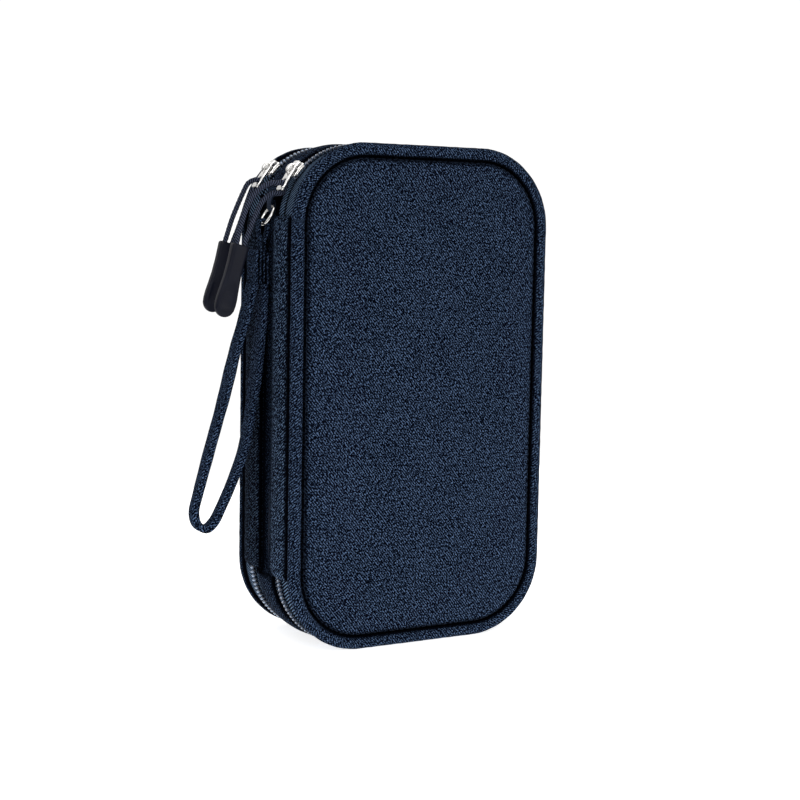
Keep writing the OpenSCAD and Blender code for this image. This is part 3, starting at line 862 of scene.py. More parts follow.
def swell(obj):
    """A slight fullness in a padded face: a short cloth simulation held at the seams, applied in small part."""
    mesh = obj.data
    outer = len(mesh.vertices) // 2
    held = obj.vertex_groups.new(name="held")
    for v in mesh.vertices:
        x, _, z = (c / MM for c in v.co)
        held.add([v.index], rise(15.0, 7.6, inset_of(x, z)) if v.index < outer else 1.0, "REPLACE")
    cloth = obj.modifiers.new("Cloth", "CLOTH")
    for key, value in (
        ("quality", 5), ("mass", 0.2), ("tension_stiffness", 10), ("compression_stiffness", 10),
        ("shear_stiffness", 5), ("bending_stiffness", 0.3), ("shrink_min", -0.012), ("use_pressure", True),
        ("uniform_pressure_force", 4), ("vertex_group_mass", "held"),
    ):
        setattr(cloth.settings, key, value)
    cloth.settings.effector_weights.gravity = 0
    cloth.collision_settings.use_collision = False
    cloth.point_cache.frame_start = 1
    cloth.point_cache.frame_end = SWELL_FRAMES
    scene = bpy.context.scene
    for number in range(1, SWELL_FRAMES + 1):
        scene.frame_set(number)
    moved = [v.co.copy() for v in obj.evaluated_get(bpy.context.evaluated_depsgraph_get()).data.vertices]
    obj.modifiers.remove(cloth)
    obj.vertex_groups.remove(held)
    scene.frame_set(1)
    # The simulation alone moves the face by millimetres; every move is brought under the cap
    for v, co in zip(mesh.vertices, moved):
        move = co - v.co
        v.co += move * (SWELL_CAP * MM / (SWELL_CAP * MM + move.length))


CROWN = [(4.75, 21.95), (5.25, 22.0), (5.5, 22.6), (5.8, 23.4), (6.3, 24.1), (7.0, 24.55), (8.5, 24.95),
         (11.0, 25.2), (16.0, 25.45), (24.0, 25.6), (40.0, 25.7), (55.0, 25.7)]
INSETS = [4.75, 5.0, 5.25, 5.5, 5.75, 6.0, 6.3, 6.7, 7.2, 7.8, 8.7, 9.8, 11.2, 13.0, 15.2,
          *range(18, 52, 3), 53.6]
FLAT_INSETS = [5.1, 5.6, 6.5, 7.5, 9, 13, *range(18, 49, 6), 53.6]
SEAM_INSET = 5.9
SIDES = ((-1, "front"), (1, "rear"))


def crown(d):
    return between(CROWN, d)


def cloth_back(d):
    return max(22.0, crown(d) - 0.75) if d > SEAM_INSET else 21.93


def pad_face(d):
    return max(21.96, min(crown(d) - 0.85, 24.75))


def lining_back(d):
    return LINING_Y - 0.1 + (0.15 if d < 5.2 else 0.0) + 0.04 * math.sin(d * 0.6)


for (side, cover), seed in zip(SIDES, (11, 23)):
    body = cover + "_cover"
    fabric = shell(cover + "_panel_cloth", M_FABRIC, side, crown, cloth_back, INSETS, seed)
    swell(fabric)
    # Painted shade in the groove between the panel and its piping.
    write_painted_shade(fabric, lambda x, y, z: 0.92 * rise(7.6, 5.6, inset_of(x, z)))
    settle(fabric, body, "navy_fabric", cover + "_panel_fabric")
    pad = shell(cover + "_foam_pad", M_FOAM, side, pad_face, lambda d: 21.9, FLAT_INSETS, seed + 3)
    settle(pad, body, "foam", cover + "_panel_foam")
    lining = shell(cover + "_lining_cloth", M_LINING, side, lambda d: 21.88, lining_back, FLAT_INSETS, seed + 7)
    settle(lining, body, "lining_fabric", cover + "_panel_lining")

    # Piped edge: a cloth tube over a cord, gathered a little round the corners
    loop = [Vector((x, side * (HALF_D - PIPE_R), z)) for x, z in ring_points(PIPE_R, (74, 30, 34))]
    gathers = random.Random(seed + 9)
    phases = [gathers.uniform(0, 6.28) for _ in range(3)]

    def piped(run, a, b, phases=phases):
        ang = math.atan2(b, a)
        lift = 1.0 + 0.012 * math.sin(run * 0.9 + phases[0] + 1.5 * math.sin(ang)) \
            + 0.010 * math.sin(run * 2.3 + phases[1] + 2.0 * ang) + 0.006 * math.sin(run * 0.21 + phases[2])
        return a * lift, b * lift

    pipe = sweep(cover + "_piped_edge", loop, circle(PIPE_R, 20), M_FABRIC, closed=True, shape=piped)
    # Painted shade on the piping's side towards the panel and its side towards the middle.
    write_painted_shade(pipe, lambda x, y, z: max(rise(3.9, 4.7, inset_of(x, z)), rise(22.2, 20.9, abs(y))))
    settle(pipe, body, "navy_fabric", cover + "_piping")

    # Two rows of stitches: one in the groove beside the piping, one round the lining
    for tag, inset, level, out in (("seam", SEAM_INSET, crown(SEAM_INSET) + 0.02, 1),
                                   ("lining_seam", 6.6, LINING_Y - 0.12, -1)):
        line = [Vector((x, side * level, z)) for x, z in ring_points(inset)]
        row_of_stitches(f"{cover}_{tag}_stitches", line + [line[0]], Vector((0, side * out, 0)), body,
                        "navy_fabric", pitch=2.4, length=1.75)


# ---------------------------------------------------------------- band, tapes and coils

BAND = [(1.3, -6.0), (0.6, -5.75), (0.15, -5.0), (-0.2, -3.2), (-0.35, 0.0), (-0.2, 3.2), (0.15, 5.0),
        (0.6, 5.75), (1.3, 6.0), (2.35, 5.8), (2.35, -5.8)]
band_noise = wave_noise(41)
band = sweep_rim("middle_band_cloth", BAND, M_FABRIC, BAND_RIM,
                 wobble=lambda s, i: 0.1 * band_noise(s * 2.0, i * 9.0) if i < 9 else 0.0)
# Painted shade: the whole band is darkened, and most of all along its edges beside the tapes.
write_painted_shade(band, lambda x, y, z: 0.4 + 0.6 * rise(4.8, 5.9, abs(y)))
settle(band, "case", "navy_fabric", "mid_gusset")
settle(sweep_rim("middle_band_lining", [(2.42, -11.3), (2.42, 11.3), (2.95, 11.1), (2.95, -11.1)], M_LINING,
                 BAND_RIM), "case", "lining_fabric", "gusset_lining")
SEAM_RIM = Rim(VALLEY_LOW + 1.5, VALLEY_HIGH - 1.5)


def rim_line(rim, inset, y, s1=None):
    """Points and outward normals along the outline."""
    s1 = rim.length if s1 is None else s1
    count = int(s1 / 1.5)
    points, normals = [], []
    for k in range(count + 1):
        x, z, nx, nz = rim.at(s1 * k / count)
        points.append(Vector((x - nx * inset, y, z - nz * inset)))
        normals.append(Vector((nx, 0, nz)))
    return points, normals


for side, tag in SIDES:
    points, normals = rim_line(SEAM_RIM, 0.12, side * 4.9)
    settle(stitches(f"band_{tag}_stitches", points, normals, radius=0.15), "case", "navy_fabric")

TOOTH_PITCH = 1.75
TOOTH = [(0.0, 0.42, -0.30), (0.08, 0.78, -0.10), (0.25, 1.0, 0.0), (0.55, 0.95, 0.02), (0.78, 1.10, 0.03),
         (0.92, 0.98, 0.0), (1.0, 0.45, 0.0)]


def teeth(name, at, count, y_root, y_tip, mat, half_n=0.62):
    """A row of coil turns; at(k) gives the place, the outward normal and the directions along and across."""
    verts, faces, weave = [], [], []
    for k in range(count):
        centre, out, along, across = at(k)
        faces += ring_faces(len(TOOTH), 8, len(verts))
        for f, fat, lift in TOOTH:
            mid = centre + across * (y_root + (y_tip - y_root) * f) + out * lift
            for a, b in circle(1.0, 8):
                verts.append(tuple(mid + along * (0.36 * fat * a) + out * (half_n * fat * b)))
                weave.append((k * TOOTH_PITCH + a, f * 2))
    return face_out(make(name, verts, faces, mat, weave))


for (side, tag), park in zip(SIDES, PARKS):
    s_end = RIM.at_angle(park - 7.5)
    count = int(s_end / TOOTH_PITCH)
    for part, body, y_root, y_tip, shift in (
        ("inner", "case", 10.0, 12.28, 0.0), ("outer", tag + "_cover", 14.0, 11.72, 0.5),
    ):
        def place(k, shift=shift, proud=0.22 if part == "outer" else 0.0):
            x, z, nx, nz = RIM.at((k + shift + 0.2) * TOOTH_PITCH)
            out = Vector((nx, 0, nz))
            return Vector((x, 0, z)) - out * (1.02 - proud), out, Vector((-nz, 0, nx)), Vector((0, side, 0))

        # The outer row wears the brighter coil with the painted glint, the inner row the darker one.
        row = teeth(f"{tag}_coil_{part}", place, count, y_root, y_tip, M_COIL_GLINT if part == "outer" else M_COIL)
        settle(row, body, "coil_plastic", f"{tag}_zip_coil_{part}")
        points, normals = rim_line(RIM, 0.72, side * (10.35 if part == "inner" else 13.65), s1=s_end - 1)
        settle(stitches(f"{tag}_coil_{part}_stitches", points, normals, pitch=1.4, length=1.05), body, "zip_tape")
    inner = [(1.72, 6.0), (1.62, 8.2), (1.66, 11.0), (1.85, 11.42), (2.35, 11.3), (2.38, 6.0)]
    outer = [(2.36, 12.7), (1.85, 12.58), (1.64, 13.0), (1.5, 15.5), (1.35, 18.5), (1.5, 20.3), (2.38, 19.9)]
    for part, body, profile in (("inner", "case", inner), ("outer", tag + "_cover", outer)):
        tape = sweep_rim(f"{tag}_tape_{part}", [(i, side * y) for i, y in profile], M_TAPE, step=1.5)
        # Painted shade along both edges of each tape and where the two tapes meet under the coils.
        write_painted_shade(tape, lambda x, y, z: max(rise(19.3, 20.1, abs(y)), rise(6.9, 6.3, abs(y)),
                                          0.8 * rise(13.0, 12.7, abs(y)) * rise(11.0, 11.3, abs(y))))
        settle(tape, body, "zip_tape", f"{tag}_zip_tape_{part}")


# ---------------------------------------------------------------- spine

SPINE_SECTION = rounded([
    (-52.2, 19.5), (-52.7, 19.95), (-53.5, 19.8), (-54.4, 19.0), (-55.1, 17.5), (-55.62, 14.5), (-55.7, 12.2),
    (-55.6, 9.6), (-55.25, 7.4), (-54.6, 6.2), (-53.6, 5.8), (-52.6, 6.15), (-51.7, 7.6), (-51.55, 13.0)], 1.0, 2)
SPINE_MID = (-53.0, 12.9)
SPINE_Z0, SPINE_Z1 = SPINE_LOW - 0.5, SPINE_HIGH + 0.6
CLOSING = (0.0, 0.12, 0.45, 1.0, 1.9, 3.2)
FLAP = rounded([(-51.3, 17.2), (-50.7, 18.6), (-49.9, 19.9), (-49.3, 21.0), (-48.9, 21.9), (-49.5, 22.1),
                (-50.0, 21.2), (-50.6, 20.2), (-51.3, 19.2), (-51.9, 17.6)], 0.5, 2)


def spine_panel(tag, side):
    """A padded strip beside the valley, rolled under along both edges."""
    z0, z1 = SPINE_Z0, SPINE_Z1
    lumps = wave_noise(61 + side)
    levels = [z0 + c for c in CLOSING] + [z0 + 5 + (z1 - z0 - 10) * k / 62 for k in range(63)]
    levels += [z1 - c for c in reversed(CLOSING)]
    mid_x, mid_y = SPINE_MID
    runs = distances(SPINE_SECTION)
    rings = []
    for z in levels:
        close = math.sqrt(max(0.0, 1 - (1 - min(1.0, min(z - z0, z1 - z) / 3.2)) ** 2))
        ring = []
        for x, y in SPINE_SECTION:
            puff = (0.16 * lumps(y * 3.0, z) + 0.07 * math.sin(z * 0.93 + 2 * math.sin(y))) if x < -54 else 0.0
            ring.append((mid_x + (x - mid_x) * (0.25 + 0.75 * close) - puff * close,
                         side * (mid_y + (y - mid_y) * (0.86 + 0.14 * close)), z))
        rings.append(ring)
    obj = loft(f"{tag}_spine_cloth", rings, M_SPINE, [(run * side, z) for z in levels for run in runs])
    # Painted shade: the rear strip is darkened all over as though in the front strip's shadow, and both strips
    # darken along their rolled edges and at their ends.
    shade = 0.62 if side > 0 else 0.0
    write_painted_shade(obj, lambda x, y, z: max(shade, rise(17.2, 18.8, abs(y)), rise(6.6, 6.0, abs(y)),
                                     rise(z0 + 0.5, z0, z), rise(z1 - 0.5, z1, z)))
    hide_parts(f"{tag}_spine_panel")
    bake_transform(obj)


def hinge_lining(tag, side):
    """Loose lining across the hinge, from the spine to the cover."""
    levels = [SPINE_LOW + 2 + (SPINE_HIGH - SPINE_LOW - 4) * k / 90 for k in range(91)]
    rings = [[(x + 0.15 * math.sin(z * 0.35 + y), side * y, z) for x, y in FLAP] for z in levels]
    obj = loft(f"{tag}_hinge_lining", rings, M_LINING, [(y * 2, z) for z in levels for _, y in FLAP])
    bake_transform(obj)


for side, tag in SIDES:
    spine_panel(tag, side)
    # A row of stitches that holds the strip down beside the valley
    line = [Vector((-55.14, side * 7.0, SPINE_LOW + 2 + k * 1.5)) for k in range(88)]
    row_of_stitches(f"{tag}_spine_stitches", line, Vector((-1, side * -0.35, 0)).normalized(), "case",
                    "navy_fabric")
    hinge_lining(tag, side)

# The valley between the strips: a cloth channel that climbs to the band at both ends
CHANNEL = [(3.3, -6.9), (2.0, -6.45), (0.9, -6.05), (0.25, -5.2), (0.02, -4.0), (0.12, -1.5), (0.0, 0.0),
           (0.1, 1.8), (0.02, 4.0), (0.25, 5.2), (0.9, 6.05), (2.0, 6.45), (3.3, 6.9), (3.3, 7.3), (-0.7, 7.3),
           (-0.7, -7.3), (3.3, -7.3)]
OVERLAP = 0.4
soft = wave_noise(73)
levels = [VALLEY_LOW - OVERLAP + (VALLEY_HIGH - VALLEY_LOW + 2 * OVERLAP) * k / 100 for k in range(101)]
rings = []
for z in levels:
    climb = (1 - min(1.0, min(z - VALLEY_LOW + OVERLAP, VALLEY_HIGH + OVERLAP - z) / 4.5)) ** 2
    ring = []
    for h, y in CHANNEL:
        floor_h = min(h + (2.6 * climb * (1 - min(1.0, abs(y) / 7.0) ** 4) if h > -0.5 else 0.0), 3.3)
        ring.append((-51.0 - floor_h - (0.14 * soft(y * 2.5, z) if -0.5 < h < 2 else 0.0), y, z))
    rings.append(ring)
runs = distances(CHANNEL)
valley = loft("valley_cloth", rings, M_FABRIC, [(run, z) for z in levels for run in runs])
# Painted shade: the valley floor is darkened all over, and most of all up its sides.
write_painted_shade(valley, lambda x, y, z: 0.62 + 0.38 * rise(4.6, 6.4, abs(y)))
settle(valley, "case", "navy_fabric", "spine_valley")


def plate(name, loops, y0, y1, bevel, mat, body, slot, *replaced):
    """A flat layer in the X-Z plane between two distances from the middle."""
    turn = Matrix(((1, 0, 0, 0), (0, 0, -1, (y0 + y1) / 2 * MM), (0, 1, 0, 0), (0, 0, 0, 1)))
    obj = flat_part(name, loops, y1 - y0, bevel, turn, mat)
    write_weave(obj.data, [(v.co.x / MM, v.co.z / MM) for v in obj.data.vertices])
    return settle(obj, body, slot, *replaced)


def box_loop(x0, x1, z0, z1, r=0.6):
    return rounded([(x0, z0), (x1, z0), (x1, z1), (x0, z1)], r, 4)


for side, tag in SIDES:
    line = [Vector((-50.6, side * 9.9, SPINE_LOW + 0.5 + k * 2.0)) for k in range(67)]
    settle(sweep(f"{tag}_spine_lining", line, flat_section(17.4, 0.75, 0.4, 3), M_LINING), "case",
           "lining_fabric")


# ---------------------------------------------------------------- divider and pockets

def divider_loop(inset):
    """The divider's outline, cut back beside the valley."""
    out = [(x, z) for x, z in ring_points(inset, (2, 2, 16)) if x >= -50.0 or not VALLEY_LOW < z < VALLEY_HIGH]
    foot = [i for i, (x, z) in enumerate(out) if x < -40 and z < 60]
    start = min(foot, key=lambda i: -out[i][1])
    return [(-50.0, VALLEY_HIGH), (-50.0, VALLEY_LOW)] + out[start:] + out[:start]


plate("divider_stiffener", [divider_loop(3.3)], -0.48, 0.48, 0.1, M_FOAM, "case", "board", "divider_board")
for side, tag in SIDES:
    plate(f"divider_{tag}_cloth", [divider_loop(3.15)], *sorted((side * 0.5, side * 1.1)), 0.15, M_LINING, "case",
          "lining_fabric", f"divider_{tag}_lining")
    line = [Vector((x, side * 1.12, z)) for x, z in divider_loop(5.0)]
    row_of_stitches(f"divider_{tag}_stitches", even(line + [line[0]], 1.5), Vector((0, side, 0)), "case",
                    "lining_fabric", pitch=2.6, length=1.9, radius=0.15)


ELASTIC_LOOPS = 5
ELASTIC_HALF = 44.0
ELASTIC_HEIGHT = 24.0


def elastic(tag, z):
    """A wide elastic sewn down at intervals, standing off a little between the seams."""
    span = (2 * ELASTIC_HALF - 4) / ELASTIC_LOOPS
    points = []
    for k in range(int(2 * ELASTIC_HALF) + 1):
        t = (k - 2) / span
        bulge = 1.9 * math.sin(math.pi * (t % 1.0)) ** 0.8 if 0.0 < t < ELASTIC_LOOPS else 0.0
        points.append(Vector((k - ELASTIC_HALF, -1.75 - bulge, z + ELASTIC_HEIGHT / 2)))
    cloth = sweep(f"elastic_loops_{tag}", points, flat_section(ELASTIC_HEIGHT, 0.95, 0.45, 3), M_ELASTIC,
                  hint=Z_AXIS)
    settle(cloth, "case", "elastic", f"elastic_band_{tag}")
    distances(points)[-1] * MM
    seams = []
    for i in range(ELASTIC_LOOPS + 1):
        for off in (-0.55, 0.55):
            x = 2 - ELASTIC_HALF + i * span + off
            line = [Vector((x, -2.27, z + 0.8 + k * 0.8)) for k in range(int((ELASTIC_HEIGHT - 1.6) / 0.8) + 1)]
            seams.append(stitches("seam", line, [-Y_AXIS] * len(line), pitch=1.9, length=1.4))
    settle(join(f"elastic_loops_{tag}_seams", seams, M_THREAD), "case", "elastic")


for tag, z in (("upper", 138.0), ("middle", 98.0), ("lower", 16.0)):
    elastic(tag, z)


def cloth_grid(name, x0, x1, z0, z1, y_at, mat, step=2.0):
    """A single open layer of cloth over a rectangle."""
    nx, nz = max(2, int((x1 - x0) / step)), max(2, int((z1 - z0) / step))
    verts, faces, weave = [], [], []
    for j in range(nz + 1):
        for i in range(nx + 1):
            x, z = x0 + (x1 - x0) * i / nx, z0 + (z1 - z0) * j / nz
            verts.append((x, y_at(x, z), z))
            weave.append((x, z))
    for j in range(nz):
        for i in range(nx):
            a = j * (nx + 1) + i
            faces.append((a, a + 1, a + nx + 2, a + nx + 1))
    return make(name, verts, faces, mat, weave)


def bow(x, z, area, height):
    """How far loose cloth stands off between its held edges: it is free along its top."""
    x0, x1, z0, z1 = area
    u, v = (x - x0) / (x1 - x0), (z - z0) / (z1 - z0)
    return height * math.sin(math.pi * u) ** 0.7 * math.sin(0.5 * math.pi * v) ** 1.2


# Card pocket on the front of the divider: bowed cloth with a bound, elasticated top
CARD = (-44, 44, 46, 86)
CARD_BOW = 1.1
layers = [cloth_grid("card", *CARD, lambda x, z, y=y: y - bow(x, z, CARD, CARD_BOW), M_LINING)
          for y in (-1.25, -1.95)]
card_cloth = join("card_pocket_cloth", layers, M_LINING)
face_out(card_cloth, bridge=True)
settle(card_cloth, "case", "lining_fabric", "card_pocket")
hem_line = [Vector((x, -1.65 - bow(x, CARD[3], CARD, CARD_BOW), CARD[3])) for x in range(CARD[0], CARD[1] + 1)]
hem = sweep("card_pocket_hem", hem_line, flat_section(4.4, 1.5, 0.48, 3), M_ELASTIC, hint=Z_AXIS)
settle(hem, "case", "elastic")


def frame_loops(inset, z0, z1, top):
    """A binding's outline with its outer corners cut to the rounded outline, and its opening."""
    x, side = 45, 3
    r = CORNER_R - inset
    cx = HALF_W - CORNER_R
    drop = math.sqrt(max(0.0, r * r - (x - cx) ** 2))
    lean = math.sqrt(max(0.0, r * r - (CORNER_R - z0) ** 2))
    a0, a1 = math.atan2(z0 - CORNER_R, lean), math.atan2(-drop, x - cx)
    turns = [a0 + (a1 - a0) * k / 6 for k in range(7)]
    corner = [(cx + r * math.cos(t), CORNER_R + r * math.sin(t)) for t in turns]
    outer = corner + [(x, z1), (-x, z1)] + [(-px, pz) for px, pz in reversed(corner)]
    return [outer, box_loop(-x + side, x - side, z0 + side, z1 - top, 1.2)]


NET_HALF = 42.6
for name, loops, y0, y1, bevel, body, node in (
    ("divider_net_binding", frame_loops(3.3, 11, 136, 6), 1.05, 2.15, 0.42, "case", "divider_mesh_binding"),
    ("front_net_binding", frame_loops(5.5, 12, 124, 6), -21.65, -20.5, 0.42, "front_cover", "front_mesh_binding"),
    ("rear_pocket_edge", frame_loops(5.5, 12, 152, 4), 19.65, 21.65, 0.45, "rear_cover", "rear_pocket_binding"),
):
    plate(name, loops, y0, y1, bevel, M_WEBBING, body, "elastic", node)


def net_piece(obj, body, node):
    settle(obj, body, "mesh", node)


for name, z0, z1, y, fx, fz, body, node, binding in (
    ("divider_net", 13.4, 130.6, 1.5, 0.3, 0.23, "case", "divider_mesh", "divider_net_binding"),
    ("front_cover_net", 14.4, 118.6, -21.1, 0.27, 0.21, "front_cover", "front_mesh_pocket", "front_net_binding"),
):
    area = (-NET_HALF, NET_HALF, z0, z1)
    net = cloth_grid(name, *area, lambda x, z: y + bow(x, z, area, 1.3)
                     + 0.12 * math.sin(x * fx) * math.sin(z * fz), M_NET)
    net_piece(net, body, node)
nets = [cloth_grid("net", -NET_HALF, NET_HALF, 14.4, 124.6, lambda x, z: 19.95 - 0.5 * math.sin(
            math.pi * (x + NET_HALF) / (2 * NET_HALF)) * math.sin(math.pi * (z - 14.4) / 110.2), M_NET),
        cloth_grid("net", -NET_HALF, NET_HALF, 139.4, 148.4, lambda x, z: 19.95, M_NET)]
net_piece(join("rear_pocket_net", nets, M_NET), "rear_cover", "rear_pocket_mesh")

# Inner pocket's zipper
tapes = [plate("tape", [box_loop(-42.4, 42.4, z0, z1, 0.3)], 19.68, 20.12, 0.12, M_TAPE, "rear_cover", "zip_tape")
         for z0, z1 in ((124.0, 131.6), (132.4, 140.0))]
settle(join("rear_pocket_tapes", tapes, M_TAPE), "rear_cover", "zip_tape", "rear_pocket_tape")
rows = []
for sign, shift in ((-1, 0.0), (1, 0.5)):
    def place(k, shift=shift):
        return Vector((-41.4 + (k + shift) * TOOTH_PITCH, 19.2, 132.0)), -Y_AXIS, X_AXIS, sign * Z_AXIS
    rows.append(teeth("row", place, 47, 1.75, -0.25, M_COIL, half_n=0.5))
settle(join("rear_pocket_coils", rows, M_COIL), "rear_cover", "coil_plastic", "rear_pocket_coil")


# ---------------------------------------------------------------- sliders and pulls

def corner_axes(degrees):
    a = math.radians(degrees)
    return Vector((-math.cos(a), 0, math.sin(a))), Vector((math.sin(a), 0, math.cos(a)))


def corner_point(degrees, r, y):
    out, _ = corner_axes(degrees)
    return Vector((ARC.x, y, ARC.z)) + out * r


def arc_line(middle, half, r, y):
    count = max(4, int(2 * half * math.radians(1) * r / 0.35))
    return [corner_point(middle - half + 2 * half * k / count, r, y) for k in range(count + 1)]


def tapered(length, end):
    """Rounds the two ends of a swept bar."""
    def shape(run, a, b):
        f = ease_end(run, length, end, 0.45)
        return a * (1 - (1 - f) * 0.35), b * f
    return shape


def squarish(turn, power):
    """A point on a rounded square of half size 1, at a turn in radians."""
    c, q = math.cos(turn), math.sin(turn)
    return math.copysign(abs(c) ** power, c), math.copysign(abs(q) ** power, q)


def pillow(name, centre, along, across, out, size, power):
    """A solid with a flat foot and a softly domed, rounded top: size is half length, half width, height."""
    rings = []
    for r in range(9):
        t = r / 8
        lift = size[2] * (1 - (1 - t) ** 2.4) if r else -0.25
        pull = max((1 - t ** 7) ** 0.5, 0.18)
        corners = (squarish(2 * math.pi * k / 28, power) for k in range(28))
        rings.append([tuple(centre + along * (u * size[0] * pull) + across * (v * size[1] * pull) + out * lift)
                      for u, v in corners])
    return loft(name, rings, M_CHROME)


def ease_end(run, total, reach, least):
    """Rises from least to 1 along a quarter circle within a reach of either end."""
    e = min(run, total - run) / reach
    return 1.0 if e >= 1 else least + (1 - least) * math.sqrt(max(0.0, 1 - (1 - e) ** 2))


def metal(name, pieces, sharp, body, node):
    """One settled chrome piece from several, with its hard edges kept."""
    whole = join(name, pieces, M_CHROME)
    whole.data.set_sharp_from_angle(angle=math.radians(sharp))
    settle(whole, body, "chrome", node)


PLATE = rounded([(-2.7, -0.42), (2.7, -0.42), (2.7, 0.42), (1.6, 0.42), (0.0, 0.42), (-1.6, 0.42), (-2.7, 0.42)],
                0.4, 3)
BRIDGE = rounded([(-2.15, 30.4), (-2.2, 32.0), (-1.7, 33.3), (-0.6, 33.7), (0.6, 33.5), (1.7, 32.7), (2.2, 31.6)],
                 0.9, 4)[3:-3]


def bar(name, line, section, **options):
    return sweep(name, line, section, M_CHROME, **options)


def slider(tag, side, park):
    y = side * ZIP_Y
    # Upper plate: broad at the mouth, narrower at the tail, softly domed
    line = arc_line(park + 1.6, 5.9, 30.4, y)
    long = line_length(line)

    def plate_shape(run, a, b):
        width = 1.0 - 0.16 * max(0.0, (run / long - 0.35) / 0.65) ** 1.3
        dome = 0.28 * (1 - (a / 3.3) ** 2) if b > 0 else 0.0
        return a * width * ease_end(run, long, 1.3, 0.8), b * ease_end(run, long, 0.4, 0.5) + dome

    parts = [bar("plate", line, PLATE, shape=plate_shape)]
    # Rails that wrap down over the coils
    for off in (-2.4, 2.4):
        rail = arc_line(park + 1.6, 4.6, 29.7, y + off)
        parts.append(bar("rail", rail, flat_section(0.7, 1.5, 0.3, 3), shape=tapered(line_length(rail), 0.7)))
    # Lower plate, under the tapes
    low = arc_line(park, 7.4, 26.3, side * 10.7)
    parts.append(bar("low", low, flat_section(3.7, 0.75, 0.45, 3), shape=tapered(line_length(low), 0.8)))
    centre = Vector((ARC.x, y, ARC.z))
    out, _ = corner_axes(park + 6.2)
    neck = [centre + out * r for r in (26.2, 27.2, 28.4, 29.4, 30.3)]
    parts.append(bar("neck", neck, circle(0.2, 12, 0.9), hint=Y_AXIS))
    # Cap: a rounded block behind the pivot, from which the bridge springs
    out, along = corner_axes(park)
    parts.append(pillow("cap", centre + along * 2.1 + out * 30.6, along, Y_AXIS, out, (1.55, 1.9, 1.9), 0.2))
    # Bridge: from the cap over the pivot and down to the plate
    arch = even([centre + along * t + out * r for t, r in BRIDGE], 0.22)
    parts.append(bar("arch", arch, flat_section(1.75, 0.8, 0.48, 4), hint=Y_AXIS))

    def spread(run, a, b):
        f = 1.0 + 0.55 * max(0.0, 1 - run / 0.75) ** 2
        return a * f, b * f

    foot = [centre + along * -2.2 + out * r for r in (30.5, 30.75, 31.0, 31.3)]
    parts.append(bar("foot", foot, flat_section(1.75, 0.8, 0.45, 4), hint=Y_AXIS, shape=spread))
    metal(tag + "_slider_body", parts, 50, tag + "_slider", tag + "_slider")


def mirrored_loop(points, radius):
    """A rounded loop from (x, half width) points, run out along one edge and back along the other."""
    return rounded([(x, -w) for x, w in points] + [(x, w) for x, w in reversed(points)], radius, 4)


def tab_loops(reach, width, slot_half, slot_end, eye_half, eye_len):
    """Outline, slot for the bridge and eye for the cord."""
    w = width / 2
    outer = [(-0.95, w * 0.86), (slot_end * 0.6, w * 0.9), (reach * 0.55, w * 0.86), (reach - 1.4, w),
             (reach + 1.0, w)]
    return [mirrored_loop(outer, 1.0), mirrored_loop([(0.42, slot_half), (slot_end, slot_half)], 0.6),
            mirrored_loop([(reach - 0.55 - eye_len, eye_half), (reach - 0.55, eye_half)], 0.9)]


def parked_tab(tag, side, park):
    pivot = corner_point(park, 32.0, side * ZIP_Y)
    eye = corner_point(park - 14.5, 32.25, side * ZIP_Y)
    run = (eye - pivot).normalized()
    turn = basis(pivot, run, Y_AXIS, run.cross(Y_AXIS))
    loops = tab_loops((eye - pivot).length, 5.0, 1.15, 3.3, 1.55, 3.25)
    pin = bar("pin", [pivot + Y_AXIS * (k * 0.5) for k in range(-3, 4)], circle(0.56, 12), hint=run)
    end = bar("end", [eye + Y_AXIS * (k * 0.4) for k in range(-5, 6)], circle(0.56, 12), hint=run)
    metal(tag + "_pull_tab_metal", [flat_part("tab", loops, 0.95, 0.3, turn, M_CHROME), pin, end], 40,
          tag + "_pull_tab", tag + "_pull_tab")


for (side, tag), park in zip(SIDES, PARKS):
    slider(tag, side, park)
    parked_tab(tag, side, park)

GRIP_WIDTH = [(0.0, 3.25), (3.0, 3.12), (7.0, 2.98), (12.0, 3.08), (16.0, 3.42), (19.5, 3.78), (22.0, 3.86),
              (24.0, 3.62), (25.4, 2.95), (26.3, 2.0), (26.75, 1.0), (26.85, 0.35)]
GRIP_THICK = [(0.0, 2.0), (6.0, 1.95), (14.0, 1.82), (20.0, 1.72), (24.0, 1.55), (25.8, 1.15), (26.6, 0.7),
              (26.85, 0.3)]
GRIP_STATIONS = [0.0, 0.1, 0.35, 0.8, *(1.5 + k * 0.75 for k in range(31)),
                 25.0, 25.5, 25.9, 26.2, 26.45, 26.65, 26.78, 26.85]


def grip(tag, top, tilt, y):
    """A moulded rubber pull: square-cut at the cords, waisted, flared and rounded at its end."""
    a = math.radians(tilt)
    run = Vector((math.cos(a), 0, -math.sin(a)))
    across = Vector((-run.z, 0, run.x))
    start = Vector((top[0], y, top[1]))
    rings = []
    for u in GRIP_STATIONS:
        lead = 1.0 - 0.10 * max(0.0, 1 - u / 0.8) ** 2
        w, t = between(GRIP_WIDTH, u) * lead, between(GRIP_THICK, u) * lead
        ring = []
        for k in range(40):
            px, py = squarish(2 * math.pi * k / 40, 0.42)
            px, py = px * w, py * t
            # A shallow hollow in each face of the flared end, inside a raised rim
            hollow = 0.38 * math.exp(-((u - 19.5) / 4.6) ** 4) * max(0.0, 1 - (px / (w * 0.74)) ** 4)
            py -= math.copysign(hollow, py) if abs(py) > 0.5 * t else 0.0
            ring.append(tuple(start + run * u + across * px + Y_AXIS * py))
        rings.append(ring)
    obj = loft(tag + "_grip_rubber", rings, M_RUBBER)
    obj.data.set_sharp_from_angle(angle=math.radians(48))
    settle(obj, tag + "_puller", "grip_rubber", tag + "_pull_grip")


grip("front", (-70.6, 151.7), 104.8, -ZIP_Y)
grip("rear", (-65.4, 152.3), 104.8, ZIP_Y)


# ---------------------------------------------------------------- strap ring, link and bundle

